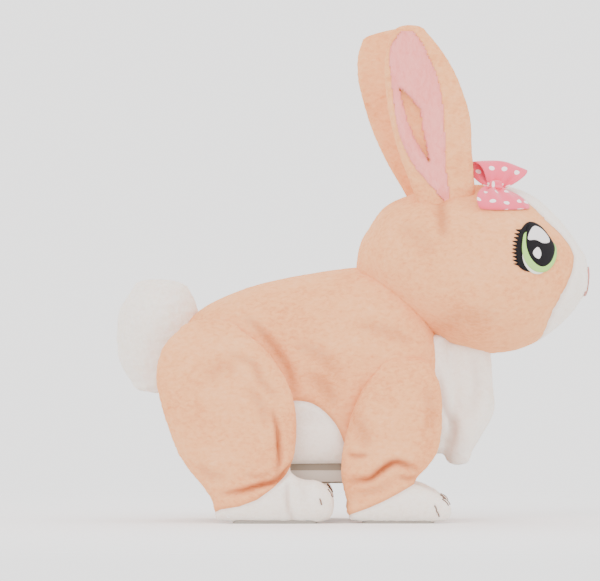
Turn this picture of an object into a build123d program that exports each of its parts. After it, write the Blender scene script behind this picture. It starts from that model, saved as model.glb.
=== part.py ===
"""Plush rabbit that hops and lays its ears back, as an assembly of covers, casings and drive parts.

Frame: millimetres. +X is the way the rabbit faces, +Y is its left side, +Z is up.
The origin is on the floor, under the middle of the bounding box.
Profiles of parts that turn or lie across the rabbit are drawn in (x, z) and extruded along Y.
"""

import os
from math import acos, atan2, cos, degrees, hypot, pi, radians, sin, sqrt, tan

from build123d import *

os.makedirs("parts", exist_ok=True)

# ---------------------------------------------------------------- driving dimensions
GAP = 0.5  # free space between a soft cover and what moves or stands beside it
RUN = 0.08  # radial clearance of a shaft that turns in a bore
COVER = 5.0  # plush and wadding of the torso
WALL = 2.0  # plastic casing wall

# The torso: (x, lowest z, highest z, half width, corner radius) of each cross-section.
TORSO = [
    (-116, 76, 120, 22, 18),
    (-106, 58, 138, 36, 30),
    (-90, 47, 148, 45, 34),
    (-65, 40, 158, 48, 36),
    (-30, 37, 165, 48, 36),
    (5, 38, 170, 48, 36),
    (30, 42, 168, 47, 36),
    (47, 52, 150, 41, 32),
    (57, 66, 128, 30, 24),
    (61, 78, 112, 18, 14),
]
# The head and the plastic skull in it: (x, centre z, half height, half width) of each cross-section.
HEAD = [
    (5, 173, 8, 12),
    (9, 175, 18, 24),
    (18, 177, 29.5, 38),
    (32, 176, 40, 50),
    (51, 173.5, 49, 58),
    (70, 171, 54.5, 62),
    (90, 169.5, 56.5, 63),
    (108, 169, 55, 60),
    (122, 168, 50.5, 53),
    (136, 164.5, 41, 43),
    (147, 161.5, 29.5, 31),
    (154, 160.5, 18, 20),
    (157, 160.5, 9, 10),
]
SKULL = [
    (26, 177, 14, 18),
    (36, 176, 25, 33),
    (51, 173.5, 35, 42),
    (70, 171, 40, 46),
    (90, 169.5, 42, 47),
    (108, 169, 40, 44),
    (122, 167, 34, 36),
    (133, 164, 22, 24),
    (137, 163, 12, 14),
]

LEG_INNER = 49.5  # y of the inner face of the thighs and upper arms, clear of the torso's flank
OVERALL_HALF_WIDTH = 68.0
SWING = 10.0  # degrees that the legs rock each way

HIP = (-81.0, 76.0)  # (x, z) of the hind legs' axis
SHOULDER = (26.0, 65.0)  # (x, z) of the front legs' axis
LEG_SHAFT_R = 3.0
LINK_ARM = 12.0  # the two link arms are equal, so the link rod stays parallel to itself

EAR_AXLE = (58.0, 196.0)
EAR_Y = 27.0  # y of the middle of each ear
EAR_LEAN = 10.0  # degrees that the ears lean back from upright
EAR_FOLD = 45.0  # degrees further back that they lie down
EAR_LENGTH = 138.0  # from the axle to the tip
EAR_SHAFT_R = 2.0

CHASSIS_HALF_WIDTH = 30.0
CHASSIS_FLOOR, CHASSIS_ROOF = 50.0, 122.0

HOUSING_X = (-78.0, 8.0)
HOUSING_HALF_WIDTH = 34.0
HOUSING_BOTTOM = 26.0
BAY_X, BAY_HALF_WIDTH, BAY_TOP = (-65.0, -8.0), 24.0, 45.0
CELL_R, CELL_LENGTH = 7.2, 50.0

BUTTON_X = -20.0
NECK_FOOT, NECK_HEAD, NECK_R = (24.0, 122.0), (44.0, 160.0), 9.0

# ---------------------------------------------------------------- gears
MODULE = 0.8
PRESSURE = radians(20)
ADDENDUM, DEDENDUM = 0.75 * MODULE, 1.15 * MODULE
FLANK_THINNING = 0.09  # taken off each tooth flank for backlash
CRANK_TEETH, WHEEL_TEETH, PINION_TEETH, SECTOR_TEETH = 44, 36, 12, 40
CRANK_AXIS = (-60.0, 92.0)
AXLE_R = 1.5  # of the two pins that gears one and two turn on


def along(start, distance, angle):
    """The (x, z) point at a distance and an angle, in degrees from +X towards +Z."""
    return (start[0] + distance * cos(radians(angle)), start[1] + distance * sin(radians(angle)))


TO_SECOND, TO_FIRST, TO_MOTOR, TO_EAR_PINION = 10.0, -5.0, 20.0, -53.0
SECOND_AXIS = along(CRANK_AXIS, MODULE * (CRANK_TEETH + PINION_TEETH) / 2, TO_SECOND)
FIRST_AXIS = along(SECOND_AXIS, MODULE * (WHEEL_TEETH + PINION_TEETH) / 2, TO_FIRST)
MOTOR_AXIS = along(FIRST_AXIS, MODULE * (WHEEL_TEETH + PINION_TEETH) / 2, TO_MOTOR)
EAR_PINION_AXIS = along(EAR_AXLE, MODULE * (SECTOR_TEETH + PINION_TEETH) / 2, TO_EAR_PINION)

CRANK_ARM_LENGTH = hypot(CRANK_AXIS[0] - HIP[0], CRANK_AXIS[1] - HIP[1])
CRANK_ARM_ANGLE = degrees(atan2(CRANK_AXIS[1] - HIP[1], CRANK_AXIS[0] - HIP[0]))
CRANK_THROW = CRANK_ARM_LENGTH * sin(radians(SWING))


# ---------------------------------------------------------------- shape helpers
def prism(profile, y_low, y_high):
    """A profile drawn in (x, z), extruded from y_low to y_high."""
    return extrude(Plane.XZ.offset(-y_high) * profile, amount=y_high - y_low)


def rod(axis, radius, y_low, y_high):
    """A round bar along Y."""
    return prism(Pos(*axis) * Circle(radius), y_low, y_high)


def post(x, y, radius, z_low, z_high):
    """A round bar along Z."""
    return Pos(x, y, z_low) * extrude(Circle(radius), amount=z_high - z_low)


def block(x_low, x_high, y_low, y_high, z_low, z_high):
    middle = ((x_low + x_high) / 2, (y_low + y_high) / 2, (z_low + z_high) / 2)
    return Pos(*middle) * Box(x_high - x_low, y_high - y_low, z_high - z_low)


def polygon(*points):
    """A filled polygon in (x, z)."""
    return make_face(Polyline(*points, close=True))


def bar(start, end, half_width, y_low, y_high):
    """A round-ended flat bar between two axes."""
    length = hypot(end[0] - start[0], end[1] - start[1])
    turn = degrees(atan2(end[1] - start[1], end[0] - start[0]))
    slot = SlotOverall(length + 2 * half_width, 2 * half_width)
    return prism(Pos(*start) * Rot(0, 0, turn) * Pos(length / 2, 0) * slot, y_low, y_high)


def ends_moved(rows, inwards):
    """The cross-sections with the first and last brought towards the middle."""
    first, last = rows[0], rows[-1]
    return [(first[0] + inwards, *first[1:]), *rows[1:-1], (last[0] - inwards, *last[1:])]


def barrel(rows, inset=0.0, y_middle=0.0):
    """A loft along X of rounded rectangles, each inset all round."""
    sections = []
    for x, low, high, half_width, corner in ends_moved(rows, inset):
        plane = Plane(origin=(x, y_middle, (low + high) / 2), x_dir=(0, 1, 0), z_dir=(1, 0, 0))
        size = (2 * (half_width - inset), high - low - 2 * inset)
        sections.append(plane * RectangleRounded(*size, corner - inset))
    return loft(sections)


def egg(rows, inset=0.0):
    """A loft along X of ellipses, each inset all round."""
    sections = []
    for x, middle, half_height, half_width in ends_moved(rows, inset):
        plane = Plane(origin=(x, 0, middle), x_dir=(0, 1, 0), z_dir=(1, 0, 0))
        sections.append(plane * Ellipse(half_width - inset, half_height - inset))
    return loft(sections)


def dome(axis, rows):
    """A loft along +Y of ellipses about an axis: (y, half length, half height)."""
    return loft([Plane.XZ.offset(-y) * Pos(*axis) * Ellipse(rx, rz) for y, rx, rz in rows])


def right_of(shape):
    """The mirror image on the rabbit's right side."""
    return mirror(shape, about=Plane.XZ)


def involute_gear(teeth, phase, y_low, y_high, axis, bore=0.0):
    """A spur gear with a tooth centred at the angle phase, in degrees from +X towards +Z."""
    pitch_r = MODULE * teeth / 2
    base_r = pitch_r * cos(PRESSURE)
    root_r, tip_r = pitch_r - DEDENDUM, pitch_r + ADDENDUM
    half_tooth = pi / (2 * teeth) - FLANK_THINNING / pitch_r
    involute_at_pitch = tan(PRESSURE) - PRESSURE
    start_r = max(base_r, root_r)
    steps = 5
    flank = []
    for step in range(steps + 1):
        r = start_r + (tip_r - start_r) * step / steps
        roll = acos(base_r / r)
        flank.append((r, half_tooth + involute_at_pitch - (tan(roll) - roll)))
    if root_r < base_r:
        flank.insert(0, (root_r, flank[0][1]))
    outline = []
    for tooth in range(teeth):
        centre = radians(phase) + 2 * pi * tooth / teeth
        for r, half in flank:
            outline.append((r * cos(centre - half), r * sin(centre - half)))
        for r, half in reversed(flank):
            outline.append((r * cos(centre + half), r * sin(centre + half)))
    face = make_face(Polyline(*outline, close=True))
    if bore:
        face -= Circle(bore)
    return prism(Pos(*axis) * face, y_low, y_high)


def save(name, shape):
    export_step(shape, f"parts/{name}.step")


def save_group(name, shapes):
    """Separate solids under one node."""
    solids = [solid for shape in shapes for solid in shape.solids()]
    export_step(Compound(children=solids), f"parts/{name}.step")


# ---------------------------------------------------------------- shared outer forms
torso_form = barrel(TORSO)
torso_room = barrel(TORSO, COVER)
head_form = egg(HEAD)
head_clearance = egg(HEAD, -GAP)
skull_form = egg(SKULL)
skull_room = egg(SKULL, WALL)


def neck_bar(radius):
    """A round bar along the neck's leaning axis, which starts below the neck's foot."""
    along_x, along_z = NECK_HEAD[0] - NECK_FOOT[0], NECK_HEAD[1] - NECK_FOOT[1]
    lean = degrees(atan2(along_x, along_z))
    below = 25
    bar_up = extrude(Circle(radius), amount=hypot(along_x, along_z) + below)
    return Pos(NECK_FOOT[0], 0, NECK_FOOT[1]) * Rot(0, lean, 0) * Pos(0, 0, -below) * bar_up


# ---------------------------------------------------------------- torso covers
def torso_covers():
    """The tan torso skin, the white belly panel let into it, the white chest bib and the tail."""
    skin = torso_form - torso_room - head_clearance - neck_bar(NECK_R + GAP)
    half = HOUSING_HALF_WIDTH + GAP
    skin -= block(HOUSING_X[0] - GAP, HOUSING_X[1] + GAP, -half, half, 20, 60)
    for axis in (HIP, SHOULDER):
        skin -= rod(axis, LEG_SHAFT_R + 2, -60, 60)
    arch = Spline((-96, 62), (-60, 80), (-36, 81), (-16, 70), (-4, 46))
    under = Polyline((-4, 46), (-4, 20), (-96, 20), (-96, 62))
    panel_zone = prism(make_face(Curve() + arch + under), -60, 60)
    save("torso_cover", skin - panel_zone)
    save("belly_panel", skin & panel_zone)

    bib_outline = polygon(
        (50, 112), (78, 118), (91, 112), (95, 76), (91, 66), (83, 56), (78, 46), (72, 40), (64, 44), (50, 56)
    )
    bib = prism(bib_outline, -24, 24) - barrel(TORSO, -GAP) - head_clearance
    save("chest_bib", max(bib.solids(), key=lambda solid: solid.volume))

    tail_x, tail_z, tail_r, tail_half_height = -131, 124, 27, 38
    tail_rows = []
    for x in (-158, -152, -142, -131, -122, TORSO[0][0]):
        share = max(sqrt(1 - ((x - tail_x) / tail_r) ** 2), 0.15)
        tail_rows.append((x, tail_z, tail_half_height * share, tail_r * share))
    save("tail", egg(tail_rows))


# ---------------------------------------------------------------- head covers
def ear_slots():
    """The two pockets in the head that the ears' stalks swing through."""
    rest, folded, reach, room = 90 + EAR_LEAN, 90 + EAR_LEAN + EAR_FOLD, 60, 6.0
    fan = [along((0, 0), reach, angle) for angle in (rest, (rest + folded) / 2, folded)]
    pocket = Pos(*EAR_AXLE) * offset(polygon((0, 0), *fan), room)
    left = prism(pocket, EAR_Y - 3, EAR_Y + 3)
    return left + right_of(left)


def head_covers():
    """The tan head skin with its filling, the white face panel, the nose and the two stitched eyes."""
    filled_skin = head_form - skull_form - ear_slots() - neck_bar(NECK_R + GAP)
    cheek = [(4, 118), (16, 128), (24, 143), (28, 160), (22, 175), (22, 185)]
    brow = [(31, 205), (25, 219), (14, 226), (4, 232)]
    right_edge = [(-y, z) for y, z in reversed(cheek + brow)]
    from_front = Plane(origin=(90, 0, 0), x_dir=(0, 1, 0), z_dir=(1, 0, 0))
    white_zone = extrude(from_front * polygon(*cheek, *brow, *right_edge), amount=80)
    save("head_cover", filled_skin - white_zone)
    save("face_panel", filled_skin & white_zone)

    raised = egg(HEAD, -1.0)
    nose_zone = block(148, 158, -7, 7, 161, 170)
    save("nose", (raised & nose_zone) - head_form)

    eye_middle, eye_turn, eye_half = (121, -40, 183), 50, (14.5, 18.5)
    direction = Vector(cos(radians(eye_turn)), -sin(radians(eye_turn)), 0.18).normalized()
    eye_plane = Plane(origin=eye_middle, z_dir=direction)
    eye_zone = extrude(eye_plane * Ellipse(*eye_half), amount=25)
    eye_right = (raised & eye_zone) - head_form
    save("eye_right", eye_right)
    save("eye_left", right_of(eye_right))


def bow():
    """The ribbon bow: two loops and the knot round their middle, sewn to the right of the forehead."""
    seat = Pos(99, -35, 224) * Rot(38, 0, 0)
    loop_outline = polygon((-5, 4), (-15, 22), (15, 22), (5, 4))
    loop = extrude(loop_outline, amount=4, both=True)
    knot = Rot(90, 0, 0) * extrude(Circle(5.5), amount=3.9, both=True)
    far = seat * loop
    near = seat * mirror(loop, about=Plane.XZ)
    save_group("bow", [far - head_form, near - head_form, (seat * knot) - head_form])


# ---------------------------------------------------------------- torso casing
CHASSIS_OUTLINE = [(-95, 68), (-95, 110), (-84, 122), (36, 122), (44, 112), (44, 66), (28, 50), (-78, 50)]
SCREW_POSTS = [(-85, 106), (34, 110), (-8, 58), (-66, 58)]
SCREW_R, SCREW_HEAD_R, SCREW_TUNNEL_R, SCREW_POST_R = 1.5, 2.8, 3.0, 4.4
SCREW_HEAD_FACE, SCREW_TIP = -14.0, 12.0


def chassis_block(inset):
    """The chassis's outer form, inset all round, with its two lower edges bevelled."""
    side = offset(polygon(*CHASSIS_OUTLINE), -inset) if inset else polygon(*CHASSIS_OUTLINE)
    half, bevel = CHASSIS_HALF_WIDTH - inset, 9
    low = CHASSIS_FLOOR + inset
    across = make_face(
        Polyline(
            (-half, low + bevel), (-half + bevel, low), (half - bevel, low), (half, low + bevel),
            (half, 130), (-half, 130), close=True,
        )
    )
    length = extrude(Plane(origin=(-110, 0, 0), x_dir=(0, 1, 0), z_dir=(1, 0, 0)) * across, amount=170)
    return prism(side, -half, half) & length


def casing_screw(axis):
    """A self-tapping screw along Y, driven from the right."""
    head = rod(axis, SCREW_HEAD_R, SCREW_HEAD_FACE - 2.5, SCREW_HEAD_FACE)
    return rod(axis, SCREW_R, SCREW_HEAD_FACE, SCREW_TIP) + head


def with_screw_posts(shell, room, axes, reach):
    """The shell with a bored post across it for each screw."""
    for axis in axes:
        shell += rod(axis, SCREW_POST_R, -reach, reach) & room
    for axis in axes:
        shell -= rod(axis, SCREW_R, SCREW_HEAD_FACE, SCREW_TIP)
        shell -= rod(axis, SCREW_TUNNEL_R, -reach - 20, SCREW_HEAD_FACE)
    return shell


def halves(shape):
    """The left and the right half of a casing that is split at y = 0."""
    big = 400
    left_side = block(-big, big, 0, big, -big, big)
    return shape & left_side, shape - left_side


def chassis():
    """The gearbox casing, split in two, with its bearings, axle bosses and the button's guide."""
    room = chassis_block(WALL)
    shell = chassis_block(0) - room
    shell = with_screw_posts(shell, room, SCREW_POSTS, CHASSIS_HALF_WIDTH + 1)
    inner = CHASSIS_HALF_WIDTH - WALL
    for axis in (HIP, SHOULDER):
        for low, high in ((-inner, -inner + 4), (inner - 4, inner)):
            shell += rod(axis, LEG_SHAFT_R + 3, low, high)
        shell -= rod(axis, LEG_SHAFT_R + RUN, -60, 60)
    for axis in (SECOND_AXIS, FIRST_AXIS):
        shell += rod(axis, 3.5, 17, inner)
        shell -= rod(axis, AXLE_R, 15, inner)
    shell += rod(CRANK_AXIS, 4.5, 17, inner)
    shell -= rod(CRANK_AXIS, 2 + RUN, 15, inner)
    guide = post(BUTTON_X, 0, 8.2, CHASSIS_ROOF - WALL, CHASSIS_ROOF + 14)
    shell = shell + guide - post(BUTTON_X, 0, 6.3, CHASSIS_ROOF - WALL - 1, CHASSIS_ROOF + 15)
    neck_wire_hole = post(NECK_FOOT[0], 0, 5, CHASSIS_ROOF - WALL - 1, CHASSIS_ROOF + 1)
    shell -= neck_wire_hole
    left, right = halves(shell)
    save("chassis_left", left)
    save("chassis_right", right)

    save_group("gear_axles", [rod(SECOND_AXIS, AXLE_R, 1.5, inner), rod(FIRST_AXIS, AXLE_R, 6, inner)])


def neck():
    """The hollow neck between the chassis roof and the skull."""
    tube = neck_bar(NECK_R) - neck_bar(NECK_R - 2.5)
    tube = tube - block(-50, 120, -50, 50, 50, CHASSIS_ROOF) - skull_form
    save("neck_post", max(tube.solids(), key=lambda solid: solid.volume))


# ---------------------------------------------------------------- battery housing
SCREW_X = -70.0  # the battery door's screw
DOOR_X = (-73.0, -7.0)
FLOOR_TOP = HOUSING_BOTTOM + WALL


def battery_housing():
    """The plastic belly: a tray with the battery bay, the door screw's boss and the switch slot."""
    half, inner = HOUSING_HALF_WIDTH, HOUSING_HALF_WIDTH - WALL
    outer = block(*HOUSING_X, -half, half, HOUSING_BOTTOM, CHASSIS_FLOOR)
    outer = fillet(outer.edges().filter_by(Axis.Z), 9)
    outer = fillet(outer.faces().sort_by(Axis.Z)[0].edges(), 5)
    room = block(HOUSING_X[0] + WALL, HOUSING_X[1] - WALL, -inner, inner, FLOOR_TOP, CHASSIS_FLOOR)
    room = fillet(room.edges().filter_by(Axis.Z), 9 - WALL)
    room = fillet(room.faces().sort_by(Axis.Z)[0].edges(), 1)
    bay_side = BAY_HALF_WIDTH + WALL
    bay = block(BAY_X[0] - WALL, BAY_X[1] + WALL, -bay_side, bay_side, HOUSING_BOTTOM, BAY_TOP + WALL)
    boss = post(SCREW_X, 0, 3.4, FLOOR_TOP, CHASSIS_FLOOR - 1)
    tray = outer - room + bay + boss
    tray -= block(*BAY_X, -BAY_HALF_WIDTH, BAY_HALF_WIDTH, HOUSING_BOTTOM - 1, BAY_TOP)
    tray -= block(*DOOR_X, -BAY_HALF_WIDTH - 1, BAY_HALF_WIDTH + 1, HOUSING_BOTTOM - 1, FLOOR_TOP)
    tray -= post(SCREW_X, 0, SCREW_R, FLOOR_TOP, 38)
    tray -= block(-2.5, 4.5, -6, 6, HOUSING_BOTTOM - 1, FLOOR_TOP + 1)
    save("battery_housing", tray)


def battery_door():
    """The door that fills the bay's mouth, with its captive screw."""
    fit = 0.2
    half = BAY_HALF_WIDTH + 1 - fit
    lid = block(DOOR_X[0] + fit, DOOR_X[1] - fit, -half, half, HOUSING_BOTTOM, FLOOR_TOP - fit)
    for x in (-58, -40, -22):
        lid += block(x, x + 1.5, -20, 20, FLOOR_TOP - fit, FLOOR_TOP + 0.8)
    head_foot, head_top = HOUSING_BOTTOM + 0.4, HOUSING_BOTTOM + 1.4
    lid -= post(SCREW_X, 0, 2.6, HOUSING_BOTTOM, head_top)
    lid -= post(SCREW_X, 0, SCREW_R + 0.1, HOUSING_BOTTOM, FLOOR_TOP)
    save("battery_door", lid)
    save("door_screw", post(SCREW_X, 0, 2.5, head_foot, head_top) + post(SCREW_X, 0, SCREW_R, head_foot, 38))


def battery_parts():
    """Three cells side by side, with a contact plate at one end and springs at the other."""
    cell_z = FLOOR_TOP + 1.2 + CELL_R
    front = BAY_X[1] - 1.5
    cells, contacts = [], []
    for y in (-15.6, 0, 15.6):
        face = Plane(origin=(front, y, cell_z), x_dir=(0, 1, 0), z_dir=(-1, 0, 0))
        tip = extrude(face * Circle(2.6), amount=1.2)
        can = extrude(face.offset(1.2) * Circle(CELL_R), amount=CELL_LENGTH - 1.2)
        cells.append(tip + can)
        turns_start = face.offset(CELL_LENGTH + 0.4)
        length = front - CELL_LENGTH - 0.4 - (BAY_X[0] + 0.9)
        wire = Helix(pitch=length / 2.5, height=length - 0.6, radius=3.4)
        section = Plane(origin=wire @ 0, z_dir=wire % 0) * Circle(0.35)
        contacts.append(turns_start.offset(0.3) * sweep(section, path=wire))
    contacts.append(block(BAY_X[0], BAY_X[0] + 0.5, -22, 22, FLOOR_TOP + 3, BAY_TOP - 2))
    contacts.append(block(BAY_X[1] - 0.5, BAY_X[1], -22, 22, FLOOR_TOP + 3, BAY_TOP - 2))
    save_group("batteries", cells)
    save_group("battery_contacts", contacts)


def power_switch():
    """The slide switch: its body inside the housing and the knob that shows in the slot."""
    knob = block(-1.5, 3.5, -2.5, 2.5, HOUSING_BOTTOM - 1.4, FLOOR_TOP + 0.2)
    knob += block(-3, 5, -3.5, 3.5, FLOOR_TOP + 0.2, FLOOR_TOP + 1.8)
    save("switch_knob", knob)
    save("switch_body", block(-3, 5, -9, 9, FLOOR_TOP + 2.0, FLOOR_TOP + 9))


# ---------------------------------------------------------------- electronics
def electronics():
    """The circuit board, with its chips and the button's contact, and the loudspeaker below it."""
    low, thickness = 113.5, 1.6
    top = low + thickness
    board = block(-74, 20, -24, 24, low, top)
    board -= post(-68, 18, 1.6, low, top)
    board -= post(14, -18, 1.6, low, top)
    chips = [block(-58, -42, -8, 8, top, top + 1.5), block(-4, 8, 6, 14, top, top + 1.5),
             post(-50, 17, 3, top, top + 4.4), block(2, 12, -14, -8, top, top + 3)]
    contact = block(BUTTON_X - 3, BUTTON_X + 3, -3, 3, top, top + 2)
    contact += post(BUTTON_X, 0, 1.7, top + 2, top + 3)
    save_group("circuit_board", [board, *chips, contact])

    speaker_x, floor = 11, CHASSIS_FLOOR + WALL
    frame_ring = post(speaker_x, 0, 13, floor, floor + 2)
    magnet = post(speaker_x, 0, 7, floor + 2, floor + 4.6)
    save("speaker", frame_ring + magnet)


# ---------------------------------------------------------------- drive
def drive():
    """The motor and the gears down to the crank, each turning on its own axis."""
    motor = rod(MOTOR_AXIS, 10, -14, 10) + rod(MOTOR_AXIS, 3, 10, 10.8)
    save("drive_motor", motor - rod(MOTOR_AXIS, 1 + RUN, -20, 12))

    tooth = 180 / PINION_TEETH  # half a pinion tooth pitch, so that a gap meets a tooth
    pinion = involute_gear(PINION_TEETH, TO_MOTOR + 180 + tooth, 11.2, 15.2, MOTOR_AXIS)
    save("motor_pinion", pinion + rod(MOTOR_AXIS, 1, -15.5, 11.2))

    first = involute_gear(WHEEL_TEETH, TO_MOTOR, 11.2, 14.2, FIRST_AXIS)
    first += involute_gear(PINION_TEETH, TO_FIRST + 180 + tooth, 6.8, 11.2, FIRST_AXIS)
    save("gear_one", first - rod(FIRST_AXIS, AXLE_R + RUN, 0, 20))

    second = involute_gear(WHEEL_TEETH, TO_FIRST, 7.2, 10.2, SECOND_AXIS)
    second += involute_gear(PINION_TEETH, TO_SECOND + 180 + tooth, 2, 7.2, SECOND_AXIS)
    save("gear_two", second - rod(SECOND_AXIS, AXLE_R + RUN, 0, 20))

    crank = involute_gear(CRANK_TEETH, TO_SECOND, 2.2, 6.2, CRANK_AXIS) + rod(CRANK_AXIS, 4, 6.2, 16.5)
    crank += rod(CRANK_AXIS, 2, 16.5, 27.5)
    pin = along(CRANK_AXIS, CRANK_THROW, CRANK_ARM_ANGLE + 90)
    save("crank_gear", crank + rod(pin, 2, -1, 2.2))


# ---------------------------------------------------------------- hind legs
THIGH_AXIS = (-81.0, 77.0)
THIGH = [
    (LEG_INNER, 44, 54),
    (56, 43, 53),
    (62, 37, 46),
    (66, 27, 35),
    (OVERALL_HALF_WIDTH, 14, 20),
]
HIND_FOOT = [
    (-91, 5, 15, 7, 4.5),
    (-84, 2, 22, 12, 8),
    (-60, 2, 29, 14, 10),
    (-36, 2, 30, 14, 11),
    (-20, 2, 28.5, 13, 11),
    (-13, 8, 24, 8, 7),
]
FOOT_Y = 54.0
SOLE = 2.0  # thickness of the rubber soles


def rocker():
    """The hub keyed on the hip shaft, with the slotted arm that the crank pin drives and the link arm."""
    hub = rod(HIP, 7, -15, -1.5)
    tip = along(HIP, 31, CRANK_ARM_ANGLE)
    slotted = bar(HIP, tip, 6, -5, -1.5)
    slot_start = along(HIP, CRANK_ARM_LENGTH - CRANK_THROW - 0.5, CRANK_ARM_ANGLE)
    slotted -= bar(slot_start, along(HIP, 45, CRANK_ARM_ANGLE), 2.2, -6, -1)
    pin = (HIP[0], HIP[1] + LINK_ARM)
    arm = bar(HIP, pin, 4.5, -15, -11.5) + rod(pin, 2, -11.5, -7)
    save("rocker", hub + slotted + arm - rod(HIP, LEG_SHAFT_R, -20, 0))


def hind_legs():
    """Hip shaft, leg frames, thighs, feet and rubber soles, which all swing together."""
    save("hip_shaft", rod(HIP, LEG_SHAFT_R, -56, 56))
    rocker()
    frame = rod(HIP, 9, LEG_INNER + 0.2, 58)
    frame += prism(polygon((-89, 74), (-73, 74), (-48, 6), (-64, 6)), 52, 56)
    frame += block(-84, -22, 46, 62, 4, 7.5)
    frame -= rod(HIP, LEG_SHAFT_R, 40, 56)
    save_group("hind_leg_frames", [frame, right_of(frame)])

    foot_form = barrel(HIND_FOOT, 0, FOOT_Y) & block(-120, 20, 30, 80, SOLE, 60)
    above_seam = prism(polygon((-120, -10), (-41, 38), (-41, 90), (-120, 90)), 30, 80)
    haunch = dome(THIGH_AXIS, THIGH)
    thigh = haunch + (foot_form & above_seam) - frame - rod(HIP, LEG_SHAFT_R, 40, 56)
    foot = foot_form - above_seam - haunch - frame
    save("thigh_left", thigh)
    save("thigh_right", right_of(thigh))
    save("hind_foot_left", foot)
    save("hind_foot_right", right_of(foot))
    sole = fillet(block(-80, -24, 46, 62, 0, SOLE).edges().filter_by(Axis.Z), 6)
    save_group("hind_soles", [sole, right_of(sole)])


# ---------------------------------------------------------------- front legs
FRONT_PAW = [
    (-3, 4, 14, 6, 4),
    (5, 2, 20, 11, 8),
    (25, 2, 25, 12, 9),
    (45, 2, 25, 12, 9),
    (58, 2, 20, 11, 8),
    (65, 4, 14, 6, 4),
]
PAW_Y = 50.0


def front_legs():
    """Shoulder shaft, link arm, leg frames, sleeves, paws and rubber soles, which all swing together."""
    save("shoulder_shaft", rod(SHOULDER, LEG_SHAFT_R, -55, 55))
    pin = (SHOULDER[0], SHOULDER[1] + LINK_ARM)
    arm = rod(SHOULDER, 7, -15, -5) + bar(SHOULDER, pin, 4.5, -15, -11.5) + rod(pin, 2, -11.5, -7)
    save("shoulder_arm", arm - rod(SHOULDER, LEG_SHAFT_R, -20, 0))

    frame = rod(SHOULDER, 8, LEG_INNER + 0.2, 57)
    frame += prism(polygon((19, 63), (33, 63), (38, 6), (22, 6)), 51, 55)
    frame += block(2, 54, 43, 57, 4, 7.5)
    frame -= rod(SHOULDER, LEG_SHAFT_R, 40, 55)
    save_group("front_leg_frames", [frame, right_of(frame)])

    above_seam = prism(polygon((-20, -2), (45, 29), (45, 100), (-20, 100)), 30, 80)
    paw_form = barrel(FRONT_PAW, 0, PAW_Y) & block(-20, 80, 30, 80, SOLE, 60)
    sleeve = dome((22, 58), [(LEG_INNER, 29, 36), (56, 28, 34), (60, 22, 27), (63, 12, 15)])
    limb = prism(polygon((-5, 38), (-5, 22), (-1, 7), (44, 28), (46, 38)), 39, 61)
    sleeve = sleeve + limb + (paw_form & above_seam)
    paw = paw_form - above_seam - sleeve - frame
    sleeve = sleeve - frame - rod(SHOULDER, LEG_SHAFT_R, 40, 55)
    save("front_leg_left", sleeve)
    save("front_leg_right", right_of(sleeve))
    save("front_paw_left", paw)
    save("front_paw_right", right_of(paw))
    sole = fillet(block(6, 54, 43, 57, 0, SOLE).edges().filter_by(Axis.Z), 6)
    save_group("front_soles", [sole, right_of(sole)])


def link_rod():
    """The rod that makes the front legs follow the hind legs."""
    rear, front = (HIP[0], HIP[1] + LINK_ARM), (SHOULDER[0], SHOULDER[1] + LINK_ARM)
    link = bar(rear, front, 2.6, -11.2, -7.7) + rod(rear, 4.2, -11.2, -7.7) + rod(front, 4.2, -11.2, -7.7)
    save("link_rod", link - rod(rear, 2 + RUN, -12, -6) - rod(front, 2 + 2 * RUN, -12, -6))


# ---------------------------------------------------------------- back button
def back_button():
    """The press button under the back, with its return spring round the guide."""
    stem_foot, cap_low, cap_high = 120.3, 146.0, 157.0
    cap = post(BUTTON_X, 0, 15, cap_low, cap_high)
    cap = fillet(cap.edges().group_by(Axis.Z)[-1], 7)
    save("back_button", cap + post(BUTTON_X, 0, 6, stem_foot, cap_low))
    wire = Helix(pitch=5, height=cap_low - CHASSIS_ROOF - 1.6, radius=10)
    section = Plane(origin=wire @ 0, z_dir=wire % 0) * Circle(0.6)
    save("button_spring", Pos(BUTTON_X, 0, CHASSIS_ROOF + 0.8) * sweep(section, path=wire))


# ---------------------------------------------------------------- skull
SKULL_POSTS = [(102, 196), (102, 142), (40, 182)]


def skull():
    """The plastic skull, split in two, that the head's skin is stretched over."""
    shell = skull_form - skull_room
    shell = with_screw_posts(shell, skull_room, SKULL_POSTS, 60)
    shell = shell - ear_slots() - neck_bar(NECK_R - 2.5)
    left, right = halves(shell)
    save("skull_left", left)
    save("skull_right", right)
    save_group("casing_screws", [casing_screw(axis) for axis in SCREW_POSTS + SKULL_POSTS])


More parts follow.
